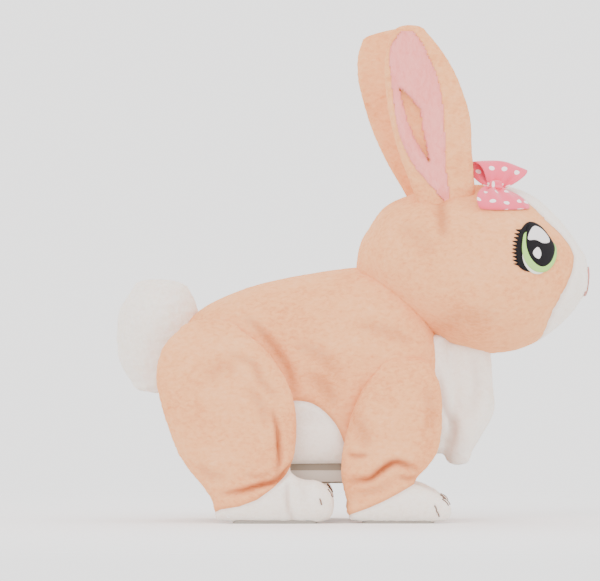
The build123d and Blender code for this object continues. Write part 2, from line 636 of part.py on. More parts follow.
def ear_drive():
    """The bracket across the skull, the ear motor and the gears that turn the ear shaft."""
    shelf_low = 163
    bracket = block(46, 86, -50, 50, shelf_low, shelf_low + 2.5) & skull_room
    for low, high in ((-20, -17), (17, 20)):
        cheek = polygon((48, shelf_low), (84, shelf_low), (84, 180), (66, 201), (52, 201), (48, 190))
        bracket += prism(cheek, low, high)
    bracket -= rod(EAR_AXLE, EAR_SHAFT_R + RUN, -25, 25)
    save("ear_bracket", bracket)

    motor = rod(EAR_PINION_AXIS, 7, 3.2, 17) - rod(EAR_PINION_AXIS, 0.75 + RUN, 0, 20)
    save("ear_motor", motor)
    tooth = 180 / PINION_TEETH
    pinion = involute_gear(PINION_TEETH, TO_EAR_PINION + 180 + tooth, -2.2, 2.2, EAR_PINION_AXIS)
    save("ear_pinion", pinion + rod(EAR_PINION_AXIS, 0.75, 2.2, 16))

    wheel = involute_gear(SECTOR_TEETH, TO_EAR_PINION, -1.8, 1.8, EAR_AXLE)
    pie = polygon((0, 0), along((0, 0), 30, -116), along((0, 0), 30, -75), along((0, 0), 30, -36))
    sector = (wheel & prism(Pos(*EAR_AXLE) * pie, -3, 3)) + rod(EAR_AXLE, 4.5, -5, 5)
    save("ear_sector_gear", sector - rod(EAR_AXLE, EAR_SHAFT_R, -10, 10))
    save("ear_shaft", rod(EAR_AXLE, EAR_SHAFT_R, -EAR_Y - 2, EAR_Y + 2))


# ---------------------------------------------------------------- ears
EAR_HALF_WIDTHS = [(32, 5), (41, 12), (54, 20), (74, 27.5), (94, 28), (112, 23), (127, 14)]


def ear_leaf(share, foot, tip):
    """The ear's leaf outline in (across, along), its half widths multiplied by share."""
    inside = [(share * half, u) for u, half in EAR_HALF_WIDTHS if foot < u < tip - 4]
    edge = [(share * 5, foot), *inside, (0, tip), *[(-v, u) for v, u in reversed(inside)], (-share * 5, foot)]
    return make_face(Curve() + Spline(*edge) + Line(edge[-1], edge[0]))


def ears():
    """The two stiff cores on the shaft, and each ear's plush cover and the pink lining on its outer face."""
    place = Pos(*EAR_AXLE) * Rot(0, 0, EAR_LEAN)
    thick, lining = 6.0, 1.2
    stalk = Pos(0, 30) * Rectangle(8, 64) + Pos(0, 82) * Ellipse(16, 36)
    core = prism(place * stalk, EAR_Y - 1.2, EAR_Y + 1.2) + rod(EAR_AXLE, 5, EAR_Y - 2.5, EAR_Y + 2.5)
    core -= rod(EAR_AXLE, EAR_SHAFT_R, 0, EAR_Y + 2)
    cover = prism(place * ear_leaf(1.0, 32, EAR_LENGTH), EAR_Y - thick, EAR_Y + thick) - core
    inner = prism(place * ear_leaf(0.72, 38, EAR_LENGTH - 9), EAR_Y + thick, EAR_Y + thick + lining)
    save_group("ear_cores", [core, right_of(core)])
    save("ear_cover_left", cover)
    save("ear_cover_right", right_of(cover))
    save("ear_lining_left", inner)
    save("ear_lining_right", right_of(inner))


torso_covers()
head_covers()
bow()
chassis()
neck()
battery_housing()
battery_door()
battery_parts()
power_switch()
electronics()
drive()
hind_legs()
front_legs()
link_rod()
back_button()
skull()
ear_drive()
ears()
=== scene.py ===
import math

import bmesh
import bpy
import numpy as np
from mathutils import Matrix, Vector
from mathutils.bvhtree import BVHTree


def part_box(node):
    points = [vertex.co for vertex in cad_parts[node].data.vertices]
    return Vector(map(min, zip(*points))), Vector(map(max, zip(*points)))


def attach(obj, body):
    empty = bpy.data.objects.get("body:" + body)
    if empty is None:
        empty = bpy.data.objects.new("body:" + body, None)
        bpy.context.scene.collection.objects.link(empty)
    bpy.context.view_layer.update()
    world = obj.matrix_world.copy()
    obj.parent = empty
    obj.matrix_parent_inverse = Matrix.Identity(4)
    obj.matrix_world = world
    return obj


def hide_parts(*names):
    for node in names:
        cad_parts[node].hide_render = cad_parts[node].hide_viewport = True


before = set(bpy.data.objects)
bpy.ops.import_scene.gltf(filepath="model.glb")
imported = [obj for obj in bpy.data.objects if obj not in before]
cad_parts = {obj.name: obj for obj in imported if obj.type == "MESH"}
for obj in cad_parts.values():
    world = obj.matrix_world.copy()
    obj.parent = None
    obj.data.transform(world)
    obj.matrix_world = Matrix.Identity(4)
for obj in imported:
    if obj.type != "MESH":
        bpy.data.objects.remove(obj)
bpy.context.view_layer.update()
MM = 0.001

# ---------------------------------------------------------------- camera, floor and lights
# A long lens looks at the rabbit's right side, almost level, from far away.
# The rabbit stands on a pale floor that fades into even pale surroundings, under large soft lights.
VIEW_DISTANCE, VIEW_WIDTH, VIEW_LIFT = 7.0, 0.400, math.radians(0.6)


def in_scene(name, data):
    """A new object of that data, linked into the scene."""
    made = bpy.data.objects.new(name, data)
    bpy.context.collection.objects.link(made)
    return made


camera_lens = bpy.data.cameras.new("camera")
camera_lens.lens = camera_lens.sensor_width * VIEW_DISTANCE / VIEW_WIDTH
camera = in_scene("camera", camera_lens)
look_at = Vector((-0.0353, -0.045, 0.1550))
camera.location = look_at + VIEW_DISTANCE * Vector((0, -math.cos(VIEW_LIFT), math.sin(VIEW_LIFT)))
camera.rotation_euler = (math.pi / 2 - VIEW_LIFT, 0, 0)
bpy.context.scene.camera = camera


def shader(name):
    """A new material, its node tree and its Principled shader."""
    material = bpy.data.materials.new(name)
    material.use_nodes = True
    return material, material.node_tree, material.node_tree.nodes["Principled BSDF"]


def fill_in(node, values):
    """Sets a node's own sockets."""
    for socket, value in values.items():
        node.inputs[socket].default_value = value


floor_form = bmesh.new()
bmesh.ops.create_grid(floor_form, x_segments=1, y_segments=1, size=6)
floor_mesh = bpy.data.meshes.new("floor")
floor_form.to_mesh(floor_mesh)
floor_form.free()
floor = in_scene("floor", floor_mesh)
floor_paint, floor_tree, floor_surface = shader("pale_floor")
fill_in(floor_surface, {"Base Color": (0.93, 0.925, 0.93, 1), "Roughness": 0.9})
FADE_START, FADE_END = 0.22, 0.85
floor_place = floor_tree.nodes.new("ShaderNodeTexCoord")
floor_reach = floor_tree.nodes.new("ShaderNodeVectorMath")
floor_reach.operation = "LENGTH"
floor_fade = floor_tree.nodes.new("ShaderNodeMapRange")
floor_fade.interpolation_type = "SMOOTHSTEP"
for socket, value in zip(floor_fade.inputs[1:5], (FADE_START, FADE_END, 1.0, 0.0)):
    socket.default_value = value
floor_tree.links.new(floor_place.outputs["Object"], floor_reach.inputs[0])
floor_tree.links.new(floor_reach.outputs["Value"], floor_fade.inputs["Value"])
floor_tree.links.new(floor_fade.outputs["Result"], floor_surface.inputs["Alpha"])
floor_mesh.materials.append(floor_paint)

world = bpy.data.worlds.new("studio")
bpy.context.scene.world = world
world.use_nodes = True
fill_in(world.node_tree.nodes["Background"], {"Color": (1.0, 0.99, 0.985, 1), "Strength": 2.3})


def soft_light(name, place, size, power):
    """A large square light that faces the middle of the rabbit."""
    lamp = bpy.data.lights.new(name, "AREA")
    lamp.size = size
    lamp.energy = power
    lamp.color = (1, 0.985, 0.97)
    light = in_scene(name, lamp)
    light.location = place
    light.rotation_euler = (Vector(place) - Vector((0, 0, 0.15))).to_track_quat("Z", "Y").to_euler()


soft_light("key", (-0.5, -1.5, 1.5), 1.0, 16)
soft_light("fill", (1.4, -1.0, 0.6), 1.2, 5)
soft_light("rim", (-1.2, 1.3, 1.2), 1.0, 7)

# ---------------------------------------------------------------- torso skin
# A tube of short tan plush over wadding, sewn closed round the chassis.
# Its flanks are flat, where the legs lie against them, and its pile runs from the head to the tail.
TORSO = [
    (-117, 8, 92, 102),
    (-107, 36, 60, 138),
    (-92, 44.5, 48, 147.5),
    (-65, 47.2, 40, 158),
    (-30, 47.4, 37, 165.5),
    (5, 47.4, 38, 170),
    (30, 47, 42, 168),
    (46, 42.5, 50, 152),
    (55, 33, 62, 130),
    (60.5, 8, 88, 104),
]


def read_rows(rows, t):
    """The rows of a table at the places t, from 0 to 1, on a smooth curve through them."""
    table = np.array(rows, float)
    place = np.clip(t, 0, 1) * (len(table) - 1)
    i = np.clip(place.astype(int), 0, len(table) - 2)
    f = (place - i)[:, None]
    b, c = table[i], table[i + 1]
    a, d = table[np.maximum(i - 1, 0)], table[np.minimum(i + 2, len(table) - 1)]
    return 0.5 * (2 * b + (c - a) * f + (2 * a - 5 * b + 4 * c - d) * f**2 + (3 * b - a - 3 * c + d) * f**3)


def stuffed_form(rows, axis="X", power=2.3):
    """A closed form: the rings of a sphere laid on cross-sections in millimetres.
    A row is the place along the axis, then the low and high limits in the other two directions.
    The first and last rows are the ends, which the form rounds into."""
    bm = bmesh.new()
    bmesh.ops.create_uvsphere(bm, u_segments=72, v_segments=64, radius=1.0)
    unit = np.array([v.co for v in bm.verts])
    t = np.arccos(np.clip(-unit[:, 2], -1, 1)) / math.pi
    gap = 1 / (len(rows) - 1)
    section = read_rows(rows[1:-1], (t - gap) / (1 - 2 * gap))
    middle = np.stack([section[:, 1] + section[:, 2], section[:, 3] + section[:, 4]], 1) / 2
    half = np.stack([section[:, 2] - section[:, 1], section[:, 4] - section[:, 3]], 1) / 2
    place = section[:, 0]
    size = np.ones(len(t))
    for end, inner, s in ((rows[0], rows[1], t / gap), (rows[-1], rows[-2], (1 - t) / gap)):
        s = np.clip(s, 0, 1)
        cap = s < 1
        bend = np.cos(s * math.pi / 2)
        tip = np.array([(end[1] + end[2]) / 2, (end[3] + end[4]) / 2])
        size[cap] = np.sin(s * math.pi / 2)[cap]
        place = np.where(cap, inner[0] + (end[0] - inner[0]) * bend, place)
        middle = np.where(cap[:, None], middle + (tip - middle) * bend[:, None], middle)
    turn = np.arctan2(unit[:, 1], unit[:, 0])
    c, s = np.cos(turn), np.sin(turn)
    reach = (np.abs(c) ** power + np.abs(s) ** power) ** (-1 / power) * size
    one = middle[:, 0] + reach * c * half[:, 0]
    two = middle[:, 1] + reach * s * half[:, 1]
    order = (place, one, two) if axis == "X" else (one, two, place)
    for vert, x, y, z in zip(bm.verts, *order):
        vert.co = (x * MM, y * MM, z * MM)
    if axis == "Z":
        bmesh.ops.recalc_face_normals(bm, faces=bm.faces)
    return bm


def new_piece(name, *forms):
    """One object made of the given bmesh forms."""
    mesh = bpy.data.meshes.new(name)
    whole = bmesh.new()
    for form in forms:
        form.to_mesh(mesh)
        whole.from_mesh(mesh)
        form.free()
    bmesh.ops.recalc_face_normals(whole, faces=whole.faces)
    whole.to_mesh(mesh)
    whole.free()
    return in_scene(name, mesh)


def settle(piece):
    """Applies the piece's modifiers to its mesh."""
    bpy.context.view_layer.update()
    shown = piece.evaluated_get(bpy.context.evaluated_depsgraph_get())
    mesh = bpy.data.meshes.new_from_object(shown)
    piece.modifiers.clear()
    piece.data = mesh


def melt(piece, voxel, smoothing=6):
    """Joins the forms of a piece into one skin of even, small faces, and softens it."""
    remesh = piece.modifiers.new("melt", "REMESH")
    remesh.mode = "VOXEL"
    remesh.voxel_size = voxel * MM
    soften = piece.modifiers.new("soften", "SMOOTH")
    soften.iterations = smoothing
    soften.factor = 0.5
    settle(piece)


def points_of(piece):
    """The piece's points, in millimetres."""
    flat = np.empty(len(piece.data.vertices) * 3)
    piece.data.vertices.foreach_get("co", flat)
    return flat.reshape(-1, 3) / MM


def normals_of(piece):
    flat = np.empty(len(piece.data.vertices) * 3)
    piece.data.vertices.foreach_get("normal", flat)
    return flat.reshape(-1, 3)


def move_points(piece, points):
    piece.data.vertices.foreach_set("co", (points * MM).ravel())
    piece.data.update()


def distance_to_path(flat, path):
    """How far each 2D point lies from a path of 2D points, and how far along the path, from 0 to 1."""
    best = np.full(len(flat), 1e9)
    along = np.zeros(len(flat))
    for i, (a, b) in enumerate(zip(path, path[1:])):
        a, b = np.array(a, float), np.array(b, float)
        f = np.clip(((flat - a) @ (b - a)) / ((b - a) @ (b - a)), 0, 1)
        d = np.linalg.norm(flat - (a + f[:, None] * (b - a)), axis=1)
        along = np.where(d < best, (i + f) / (len(path) - 1), along)
        best = np.minimum(best, d)
    return best, along


def rounded_path(path, steps=6):
    """More points on a smooth curve through a few."""
    t = np.linspace(0, 1, steps * (len(path) - 1) + 1)
    return [tuple(row) for row in read_rows(path, t)]


def paint_fold_shade(piece, depth):
    """Marks how deep each point lies in a fold, from 0 to 1. The plush darkens with it, as painted shade."""
    layer = piece.data.attributes.get("fold") or piece.data.attributes.new("fold", "FLOAT", "POINT")
    marked = np.zeros(len(piece.data.vertices))
    layer.data.foreach_get("value", marked)
    layer.data.foreach_set("value", np.maximum(marked, depth))


def crease(piece, path, depth, width, side=-1):
    """Draws a fold into the skin along a path of (x, z), with a soft roll beside it. It is deepest in
    its middle, and only skin that faces side across the rabbit is moved."""
    points, normals = points_of(piece), normals_of(piece)
    far, along = distance_to_path(points[:, [0, 2]], rounded_path(path))
    fade = np.sin(np.clip(along, 0.02, 0.98) * math.pi) ** 0.6
    fade *= np.clip(side * normals[:, 1] * 2.5, 0, 1)
    valley = np.exp(-((far / width) ** 2))
    roll = np.exp(-(((far - 2.4 * width) / (1.3 * width)) ** 2))
    # Painted shade: the fold's valley is stored to darken the plush colour along it.
    paint_fold_shade(piece, np.clip(valley * fade * min(depth / 2.6, 1.0), 0, 1))
    move_points(piece, points + normals * (depth * fade * (0.35 * roll - valley))[:, None])


def pile(piece, height=0.6, clump=3.5):
    """Raises the plush pile: clumps a few millimetres wide, and finer tufts on them."""
    for name, size, strength in (("clumps", clump, 0.9), ("tufts", clump * 0.36, 0.55)):
        grain = bpy.data.textures.get(name) or bpy.data.textures.new(name, "CLOUDS")
        grain.noise_scale = size * MM
        grain.noise_depth = 2
        raise_pile = piece.modifiers.new(name, "DISPLACE")
        raise_pile.texture = grain
        raise_pile.texture_coords = "LOCAL"
        raise_pile.strength = strength * height * MM
        raise_pile.mid_level = 0.5
        settle(piece)


def tone_ramp(tree, source, stops):
    """Colours that follow a value, from a list of (place, colour)."""
    ramp = tree.nodes.new("ShaderNodeValToRGB")
    marks = ramp.color_ramp.elements
    for mark, (place, colour) in zip(marks, (stops[0], stops[-1])):
        mark.position, mark.color = place, (*colour, 1)
    for place, colour in stops[1:-1]:
        marks.new(place).color = (*colour, 1)
    tree.links.new(source, ramp.inputs["Fac"])
    return ramp.outputs["Color"]


def raised(tree, source, strength, height):
    """A bump node whose surface rises with a value, by up to height in millimetres."""
    bump = tree.nodes.new("ShaderNodeBump")
    fill_in(bump, {"Strength": strength, "Distance": height * MM})
    tree.links.new(source, bump.inputs["Height"])
    return bump


def plush(name, tips, body, roots, nap=(1.0, 1.0, 1.0), sheen=0.55, depth=0.85):
    """Short plush. The pile's tips are pale and its roots deeper in colour, and the nap's strokes are
    longer in the direction where nap is small. The tone drifts where a hand has brushed the pile, and
    in folds and along seams a painted shade takes it down to a deeper root colour, by the share depth."""
    material, tree, surface = shader(name)
    nodes, links = tree.nodes, tree.links
    where = nodes.new("ShaderNodeTexCoord")
    comb = nodes.new("ShaderNodeMapping")
    comb.inputs["Scale"].default_value = nap
    links.new(where.outputs["Object"], comb.inputs["Vector"])

    def grain(scale, detail, rough=0.6, distortion=0.0):
        noise = nodes.new("ShaderNodeTexNoise")
        fill_in(noise, {"Scale": scale, "Detail": detail, "Roughness": rough, "Distortion": distortion})
        links.new(comb.outputs["Vector"], noise.inputs["Vector"])
        return noise.outputs["Fac"]

    strokes, drift, fibres = grain(420, 4, 0.62, 0.5), grain(30, 3, 0.5, 0.8), grain(1900, 2, 0.7)
    blend = nodes.new("ShaderNodeMath")
    blend.operation = "MULTIPLY_ADD"
    blend.inputs[1].default_value = 0.62
    links.new(strokes, blend.inputs[0])
    half = nodes.new("ShaderNodeMath")
    half.operation = "MULTIPLY"
    half.inputs[1].default_value = 0.38
    links.new(drift, half.inputs[0])
    links.new(half.outputs[0], blend.inputs[2])
    pile_tone = tone_ramp(tree, blend.outputs[0], ((0.26, roots), (0.5, body), (0.74, tips)))
    # Painted shade: the stored fold value mixes the plush towards a deep root colour in folds and along
    # seams.
    fold = nodes.new("ShaderNodeAttribute")
    fold.attribute_name = "fold"
    share = nodes.new("ShaderNodeMath")
    share.operation = "MULTIPLY"
    share.inputs[1].default_value = depth
    links.new(fold.outputs["Fac"], share.inputs[0])
    painted_shade = nodes.new("ShaderNodeMixRGB")
    painted_shade.inputs["Color2"].default_value = (*(c * f for c, f in zip(roots, (0.55, 0.32, 0.25))), 1)
    links.new(share.outputs[0], painted_shade.inputs["Fac"])
    links.new(pile_tone, painted_shade.inputs["Color1"])
    links.new(painted_shade.outputs["Color"], surface.inputs["Base Color"])
    combed, fuzz = raised(tree, strokes, 0.55, 0.9), raised(tree, fibres, 0.35, 0.35)
    links.new(combed.outputs["Normal"], fuzz.inputs["Normal"])
    links.new(fuzz.outputs["Normal"], surface.inputs["Normal"])
    fill_in(surface, {
        "Roughness": 0.95,
        "Specular IOR Level": 0.15,
        "Sheen Weight": sheen,
        "Sheen Roughness": 0.45,
        "Sheen Tint": (*tips, 1),
        "Subsurface Weight": 0.12,
        "Subsurface Radius": (1.0, 0.55, 0.35),
        "Subsurface Scale": 4 * MM,
    })
    return material


def dress(piece, material, body, replaced):
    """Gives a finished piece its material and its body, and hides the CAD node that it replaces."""
    piece.data.materials.clear()
    piece.data.materials.append(material)
    for face in piece.data.polygons:
        face.use_smooth = True
    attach(piece, body)
    if replaced:
        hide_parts(replaced)


def keep_faces(piece, wanted):
    """Deletes the faces whose middle isn't wanted."""
    bm = bmesh.new()
    bm.from_mesh(piece.data)
    middles = np.array([face.calc_center_median() for face in bm.faces]) / MM
    keep = wanted(middles)
    bmesh.ops.delete(bm, geom=[face for face, stays in zip(bm.faces, keep) if not stays], context="FACES")
    bm.to_mesh(piece.data)
    bm.free()


def cut_along(piece, margin):
    """Cuts the faces that the margin's zero line crosses, so that no face lies on both sides of it."""
    bm = bmesh.new()
    bm.from_mesh(piece.data)
    value = dict(zip(bm.verts, margin(np.array([vert.co for vert in bm.verts]) / MM)))
    cuts = []
    for edge in list(bm.edges):
        start, end = edge.verts
        if value[start] * value[end] < 0:
            share = abs(value[start]) / (abs(value[start]) + abs(value[end]))
            cuts.append(bmesh.utils.edge_split(edge, start, share)[1])
    bmesh.ops.connect_verts(bm, verts=cuts)
    bm.to_mesh(piece.data)
    bm.free()


def split_off(piece, name, margin):
    """Cuts the skin where margin is zero. The side where it is positive becomes a new piece."""
    cut_along(piece, margin)
    other = in_scene(name, piece.data.copy())
    keep_faces(other, lambda middles: margin(middles) > 0)
    keep_faces(piece, lambda middles: margin(middles) <= 0)
    return other


def seam(piece, distance, depth=1.1, width=1.6):
    """Sinks the skin along a seam. distance gives how far each point is from the seam, in mm."""
    points, normals = points_of(piece), normals_of(piece)
    valley = np.exp(-((distance(points) / width) ** 2))
    # Painted shade: the seam's valley is stored at 0.45 strength to darken the plush colour along the seam.
    paint_fold_shade(piece, 0.45 * valley)
    move_points(piece, points - normals * (depth * valley)[:, None])


TAN_TONES = (0.95, 0.50, 0.25), (0.90, 0.40, 0.175), (0.75, 0.26, 0.09)
CREAM_TONES = (0.95, 0.89, 0.82), (0.92, 0.84, 0.76), (0.83, 0.72, 0.62)
TAN = plush("tan_plush", *TAN_TONES, nap=(0.6, 1.0, 1.0), sheen=0.3)
CREAM = plush("white_plush", *CREAM_TONES, nap=(0.8, 1.0, 1.0), sheen=0.3, depth=0.6)

SKIRT = [
    (38.5, -66, -6, -22, 22),
    (41, -84, 13, -40, 40),
    (50, -87, 15, -44, 44),
    (64, -86, 15, -45, 45),
    (80, -80, 10, -40, 40),
    (86, -60, -10, -20, 20),
]
torso_rows = [(x, -half, half, low, high) for x, half, low, high in TORSO]
torso = new_piece("torso_skin", stuffed_form(torso_rows, power=2.9), stuffed_form(SKIRT, "Z", power=4.5))
melt(torso, 1.7)
for path, depth, width in (
    ([(-72, 138), (-58, 124), (-44, 104), (-38, 84)], 1.6, 3.0),
    ([(-40, 120), (-22, 112), (-8, 96)], 0.9, 5.0),
    ([(-30, 100), (-18, 90), (-12, 78)], 1.2, 5.0),
    ([(4, 132), (22, 128), (40, 120)], 0.8, 5.0),
):
    for side in (-1, 1):
        crease(torso, path, depth, width, side)
pile(torso)

# ---------------------------------------------------------------- belly panel
# A white plush panel let into the underside. Its arch shows between the legs, and its hem is rolled
# round the plastic housing that the batteries are in.
ARCH = [(-99, 54), (-80, 69), (-60, 79), (-38, 81.5), (-24, 78), (-11, 65), (-4, 47), (0, 30)]
arch_x, arch_z = zip(*rounded_path(ARCH))


def below_arch(points):
    """How far each point lies below the arch, in millimetres."""
    return np.interp(points[:, 0], arch_x, arch_z, -50, -50) - points[:, 2]


def arch_distance(points):
    """How far each point lies from the arch's seam."""
    return distance_to_path(points[:, [0, 2]], rounded_path(ARCH))[0]


seam(torso, arch_distance)
housing_low, housing_high = (np.array(corner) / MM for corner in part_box("battery_housing"))


def outside_housing(points):
    """Whether each point is outside the hole that the plastic housing fills."""
    x_in = (points[:, 0] > housing_low[0] + 1) & (points[:, 0] < housing_high[0] - 1)
    y_in = np.abs(points[:, 1]) < housing_high[1] - 1
    return ~(x_in & y_in & (points[:, 2] < 60))


torso_surface = BVHTree.FromObject(torso, bpy.context.evaluated_depsgraph_get())
keep_faces(torso, outside_housing)
belly = split_off(torso, "belly_panel_skin", below_arch)
dress(torso, TAN, "torso", "torso_cover")
dress(belly, CREAM, "torso", "belly_panel")


def rounded_rectangle(low, high, corner, steps=8):
    """Points round a rectangle with round corners, in order."""
    points = []
    ends = ((high[0], high[1]), (low[0], high[1]), (low[0], low[1]), (high[0], low[1]))
    for start, (x, y) in zip((0, 90, 180, 270), ends):
        cx = x - math.copysign(corner, x - (low[0] + high[0]) / 2)
        cy = y - math.copysign(corner, y - (low[1] + high[1]) / 2)
        for step in range(steps + 1):
            angle = math.radians(start + 90 * step / steps)
            points.append((cx + corner * math.cos(angle), cy + corner * math.sin(angle)))
    return points


def tube(name, path, radius, closed=False):
    """A round roll or thread along a path in millimetres, as a mesh."""
    curve = bpy.data.curves.new(name, "CURVE")
    curve.dimensions = "3D"
    curve.bevel_depth = radius * MM
    curve.bevel_resolution = 4
    curve.use_fill_caps = not closed
    spline = curve.splines.new("POLY")
    spline.points.add(len(path) - 1)
    for point, place in zip(spline.points, path):
        point.co = (*(c * MM for c in place), 1)
    spline.use_cyclic_u = closed
    maker = in_scene(name, curve)
    bpy.context.view_layer.update()
    mesh = bpy.data.meshes.new_from_object(maker.evaluated_get(bpy.context.evaluated_depsgraph_get()))
    bpy.data.objects.remove(maker)
    return in_scene(name, mesh)


HEM_RADIUS, HEM_CORNER, HEM_RISE, OPEN_CORNER_Z = 2.2, 11, 0.6, 42.0
hem_path = []
for x, y in rounded_rectangle(housing_low - HEM_RADIUS, housing_high + HEM_RADIUS, HEM_CORNER):
    hit = torso_surface.ray_cast(Vector((x * MM, y * MM, -0.1)), Vector((0, 0, 1)))[0]
    hem_path.append((x, y, hit.z / MM + HEM_RISE if hit else OPEN_CORNER_Z))
hem = tube("belly_hem", hem_path, HEM_RADIUS, closed=True)
pile(hem, 0.5, 3)
dress(hem, CREAM, "torso", None)

# ---------------------------------------------------------------- chest bib
# A soft tuft of white plush under the chin: a full front lobe that hangs to a point,
# and a smaller fold behind it against the chest.
FRONT_LOBE = [
    (37.5, 67, 75, -6, 6),
    (41, 63, 78.5, -13, 13),
    (48, 60.5, 81, -19, 19),
    (58, 60, 87, -23, 23),
    (74, 59, 95, -25, 25),
    (92, 57, 94, -25, 25),
    (114, 52, 92.5, -24, 24),
    (126, 58, 84, -10, 10),
]
BACK_LOBE = [
    (45, 52, 62, -6, 6),
    (53, 46, 63, -20, 20),
    (66, 44, 70, -30, 30),
    (84, 44, 70, -32, 32),
    (104, 42, 68, -33, 33),
    (122, 42, 66, -30, 30),
    (128, 48, 62, -10, 10),
]
bib = new_piece("chest_bib_tuft", stuffed_form(FRONT_LOBE, "Z"), stuffed_form(BACK_LOBE, "Z"))
melt(bib, 1.5)
for side in (-1, 1):
    crease(bib, [(58, 100), (61, 80), (67, 66), (66, 50)], 2.2, 2.6, side)
    crease(bib, [(80, 112), (83, 92), (79, 70)], 1.0, 4.0, side)
pile(bib, 0.9, 5)
dress(bib, CREAM, "torso", "chest_bib")

# ---------------------------------------------------------------- tail
# A deep-pile oval pompom sewn to the rump.
TAIL = [
    (86, -136, -126, -6, 6),
    (92, -147, -110, -18, 18),
    (106, -156, -104, -25, 25),
    (124, -158, -103, -27, 27),
    (142, -156, -104, -25, 25),
    (156, -147, -110, -18, 18),
    (162, -136, -126, -6, 6),
]
tail = new_piece("tail_pompom", stuffed_form(TAIL, "Z", power=2.0))
melt(tail, 1.3, 3)
pile(tail, 1.7, 5)
dress(tail, CREAM, "torso", "tail")

# ---------------------------------------------------------------- head
# A round stuffed head of tan plush with full cheeks, sewn shut round the plastic skull. A white panel
# covers the muzzle and runs up the forehead, let in with a sunk seam.
HEAD = [
    (2.5, 10, 160, 176),
    (9, 30, 156, 193),
    (21, 44, 145, 210),
    (38, 54, 131.5, 218.5),
    (58, 60.5, 120.5, 223.5),
    (81, 63, 113, 225.5),
    (104, 61, 113.5, 224.5),
    (121, 54.5, 119, 218),
    (135, 45.5, 128, 206),
    (147, 34, 139.5, 192),
    (154.5, 21, 150.5, 180),
    (157.8, 8, 159, 170),
]
PANEL_EDGE = [
    (121, 6), (127, 21), (134, 31), (142, 36.5), (152, 38), (162, 36), (171, 32), (178, 28), (185, 26.5),
    (192, 28), (205, 33),
]
PANEL_TOP = [(90, 3), (98, 15), (110, 25), (124, 31)]
head_rows = [(x, -half, half, low, high) for x, half, low, high in HEAD]
head = new_piece("head_skin", stuffed_form(head_rows, power=2.12))
melt(head, 1.5)
head_surface = BVHTree.FromObject(head, bpy.context.evaluated_depsgraph_get())


def panel_margin(points):
    """How far each point lies inside the white panel's edge, in millimetres across the face."""
    x, y, z = points.T
    front = np.interp(z, *zip(*PANEL_EDGE)) - np.abs(y)
    top = np.interp(x, *zip(*PANEL_TOP)) - np.abs(y)
    margin = np.where(z > 203, top, front)
    margin[(z < 121) | (x < 90)] = -20
    return margin


seam(head, lambda points: np.abs(panel_margin(points)), depth=0.8, width=1.8)
for side in (-1, 1):
    crease(head, [(58, 222), (59, 206), (60, 190)], 1.5, 4.0, side)
    crease(head, [(30, 200), (44, 190), (54, 178)], 0.6, 7.0, side)
    crease(head, [(52, 128), (72, 136), (98, 137)], 0.7, 8.0, side)
pile(head)
face_panel = split_off(head, "face_panel_skin", panel_margin)
dress(head, TAN, "torso", "head_cover")
dress(face_panel, CREAM, "torso", "face_panel")

# ---------------------------------------------------------------- eyes
# Each eye is satin-stitched thread in layers: black lid with lashes, white and green crescents,
# black pupil and two pale highlights. The layers follow the head's curve, each a little above the last.
def thread(name, colour, pitch=0.55, turn=0.0, gloss=0.5):
    """Satin stitch: close parallel threads with a soft gloss."""
    material, tree, surface = shader(name)
    nodes, links = tree.nodes, tree.links
    where = nodes.new("ShaderNodeTexCoord")
    turned = nodes.new("ShaderNodeMapping")
    turned.inputs["Rotation"].default_value = (0, turn, 0)
    links.new(where.outputs["Object"], turned.inputs["Vector"])
    rows = nodes.new("ShaderNodeTexWave")
    rows.bands_direction = "Z"
    fill_in(rows, {"Scale": math.pi / 10 / (pitch * MM), "Distortion": 0.7, "Detail Scale": 3.0})
    links.new(turned.outputs["Vector"], rows.inputs["Vector"])
    # Painted shade: the grooves between threads are coloured at 0.72 of the thread's colour.
    painted_groove_shade = tuple(0.72 * c for c in colour)
    tone = tone_ramp(tree, rows.outputs["Fac"], ((0, painted_groove_shade), (1, colour)))
    links.new(tone, surface.inputs["Base Color"])
    links.new(raised(tree, rows.outputs["Fac"], 0.6, 0.2).outputs["Normal"], surface.inputs["Normal"])
    fill_in(surface, {"Roughness": 0.45, "Specular IOR Level": gloss})
    return material


BLACK = thread("black_thread", (0.005, 0.004, 0.006), gloss=0.15)
GREEN = thread("green_thread", (0.42, 0.78, 0.16))
PALE = thread("pale_thread", (0.93, 0.88, 0.88))
SCLERA = thread("cream_thread", (0.93, 0.95, 0.80))

LID = [
    (118.5, 200.6), (124.5, 197.6), (129.4, 191.6), (132.8, 185), (133.3, 178.5), (130.5, 172.6),
    (125.5, 169), (118.5, 167.6), (113.4, 168.6), (109.8, 172), (108.6, 179), (109, 187), (111.2, 194.4),
    (114.4, 199),
]
WHITE_RIM = [
    (114.4, 184), (112.6, 180), (112.6, 176), (114.2, 171.6), (117.6, 167.6), (121.6, 166), (126, 167),
    (129, 171), (126, 178), (119, 184),
]
GREEN_RIM = [
    (114.6, 193.4), (112.4, 187.5), (112.2, 181), (113.8, 175), (117.4, 170), (122.4, 167.4),
    (128, 167.8), (132.4, 171.6), (134.9, 177.4), (134.6, 184), (131, 188), (124, 192),
]
PUPIL = [
    (118.5, 199.8), (124.4, 197), (129.4, 191.2), (133.2, 184.6), (133.1, 179.2), (130.6, 173.8),
    (126.2, 171), (121.6, 172.4), (117.3, 177.2), (114.9, 183.6), (114.6, 190), (115.8, 196.6),
]
BIG_SHINE = [
    (115.8, 188.4), (116.8, 193.6), (120, 197), (124.6, 195), (128.8, 190.2), (129.6, 186.6),
    (125.4, 186), (121, 188),
]
STITCH_CROWN = 0.35
SMALL_SHINE = [(121.6, 183.4), (123.6, 181.8), (124.2, 178.6), (122.8, 176), (120, 177.4), (118.8, 180.4)]


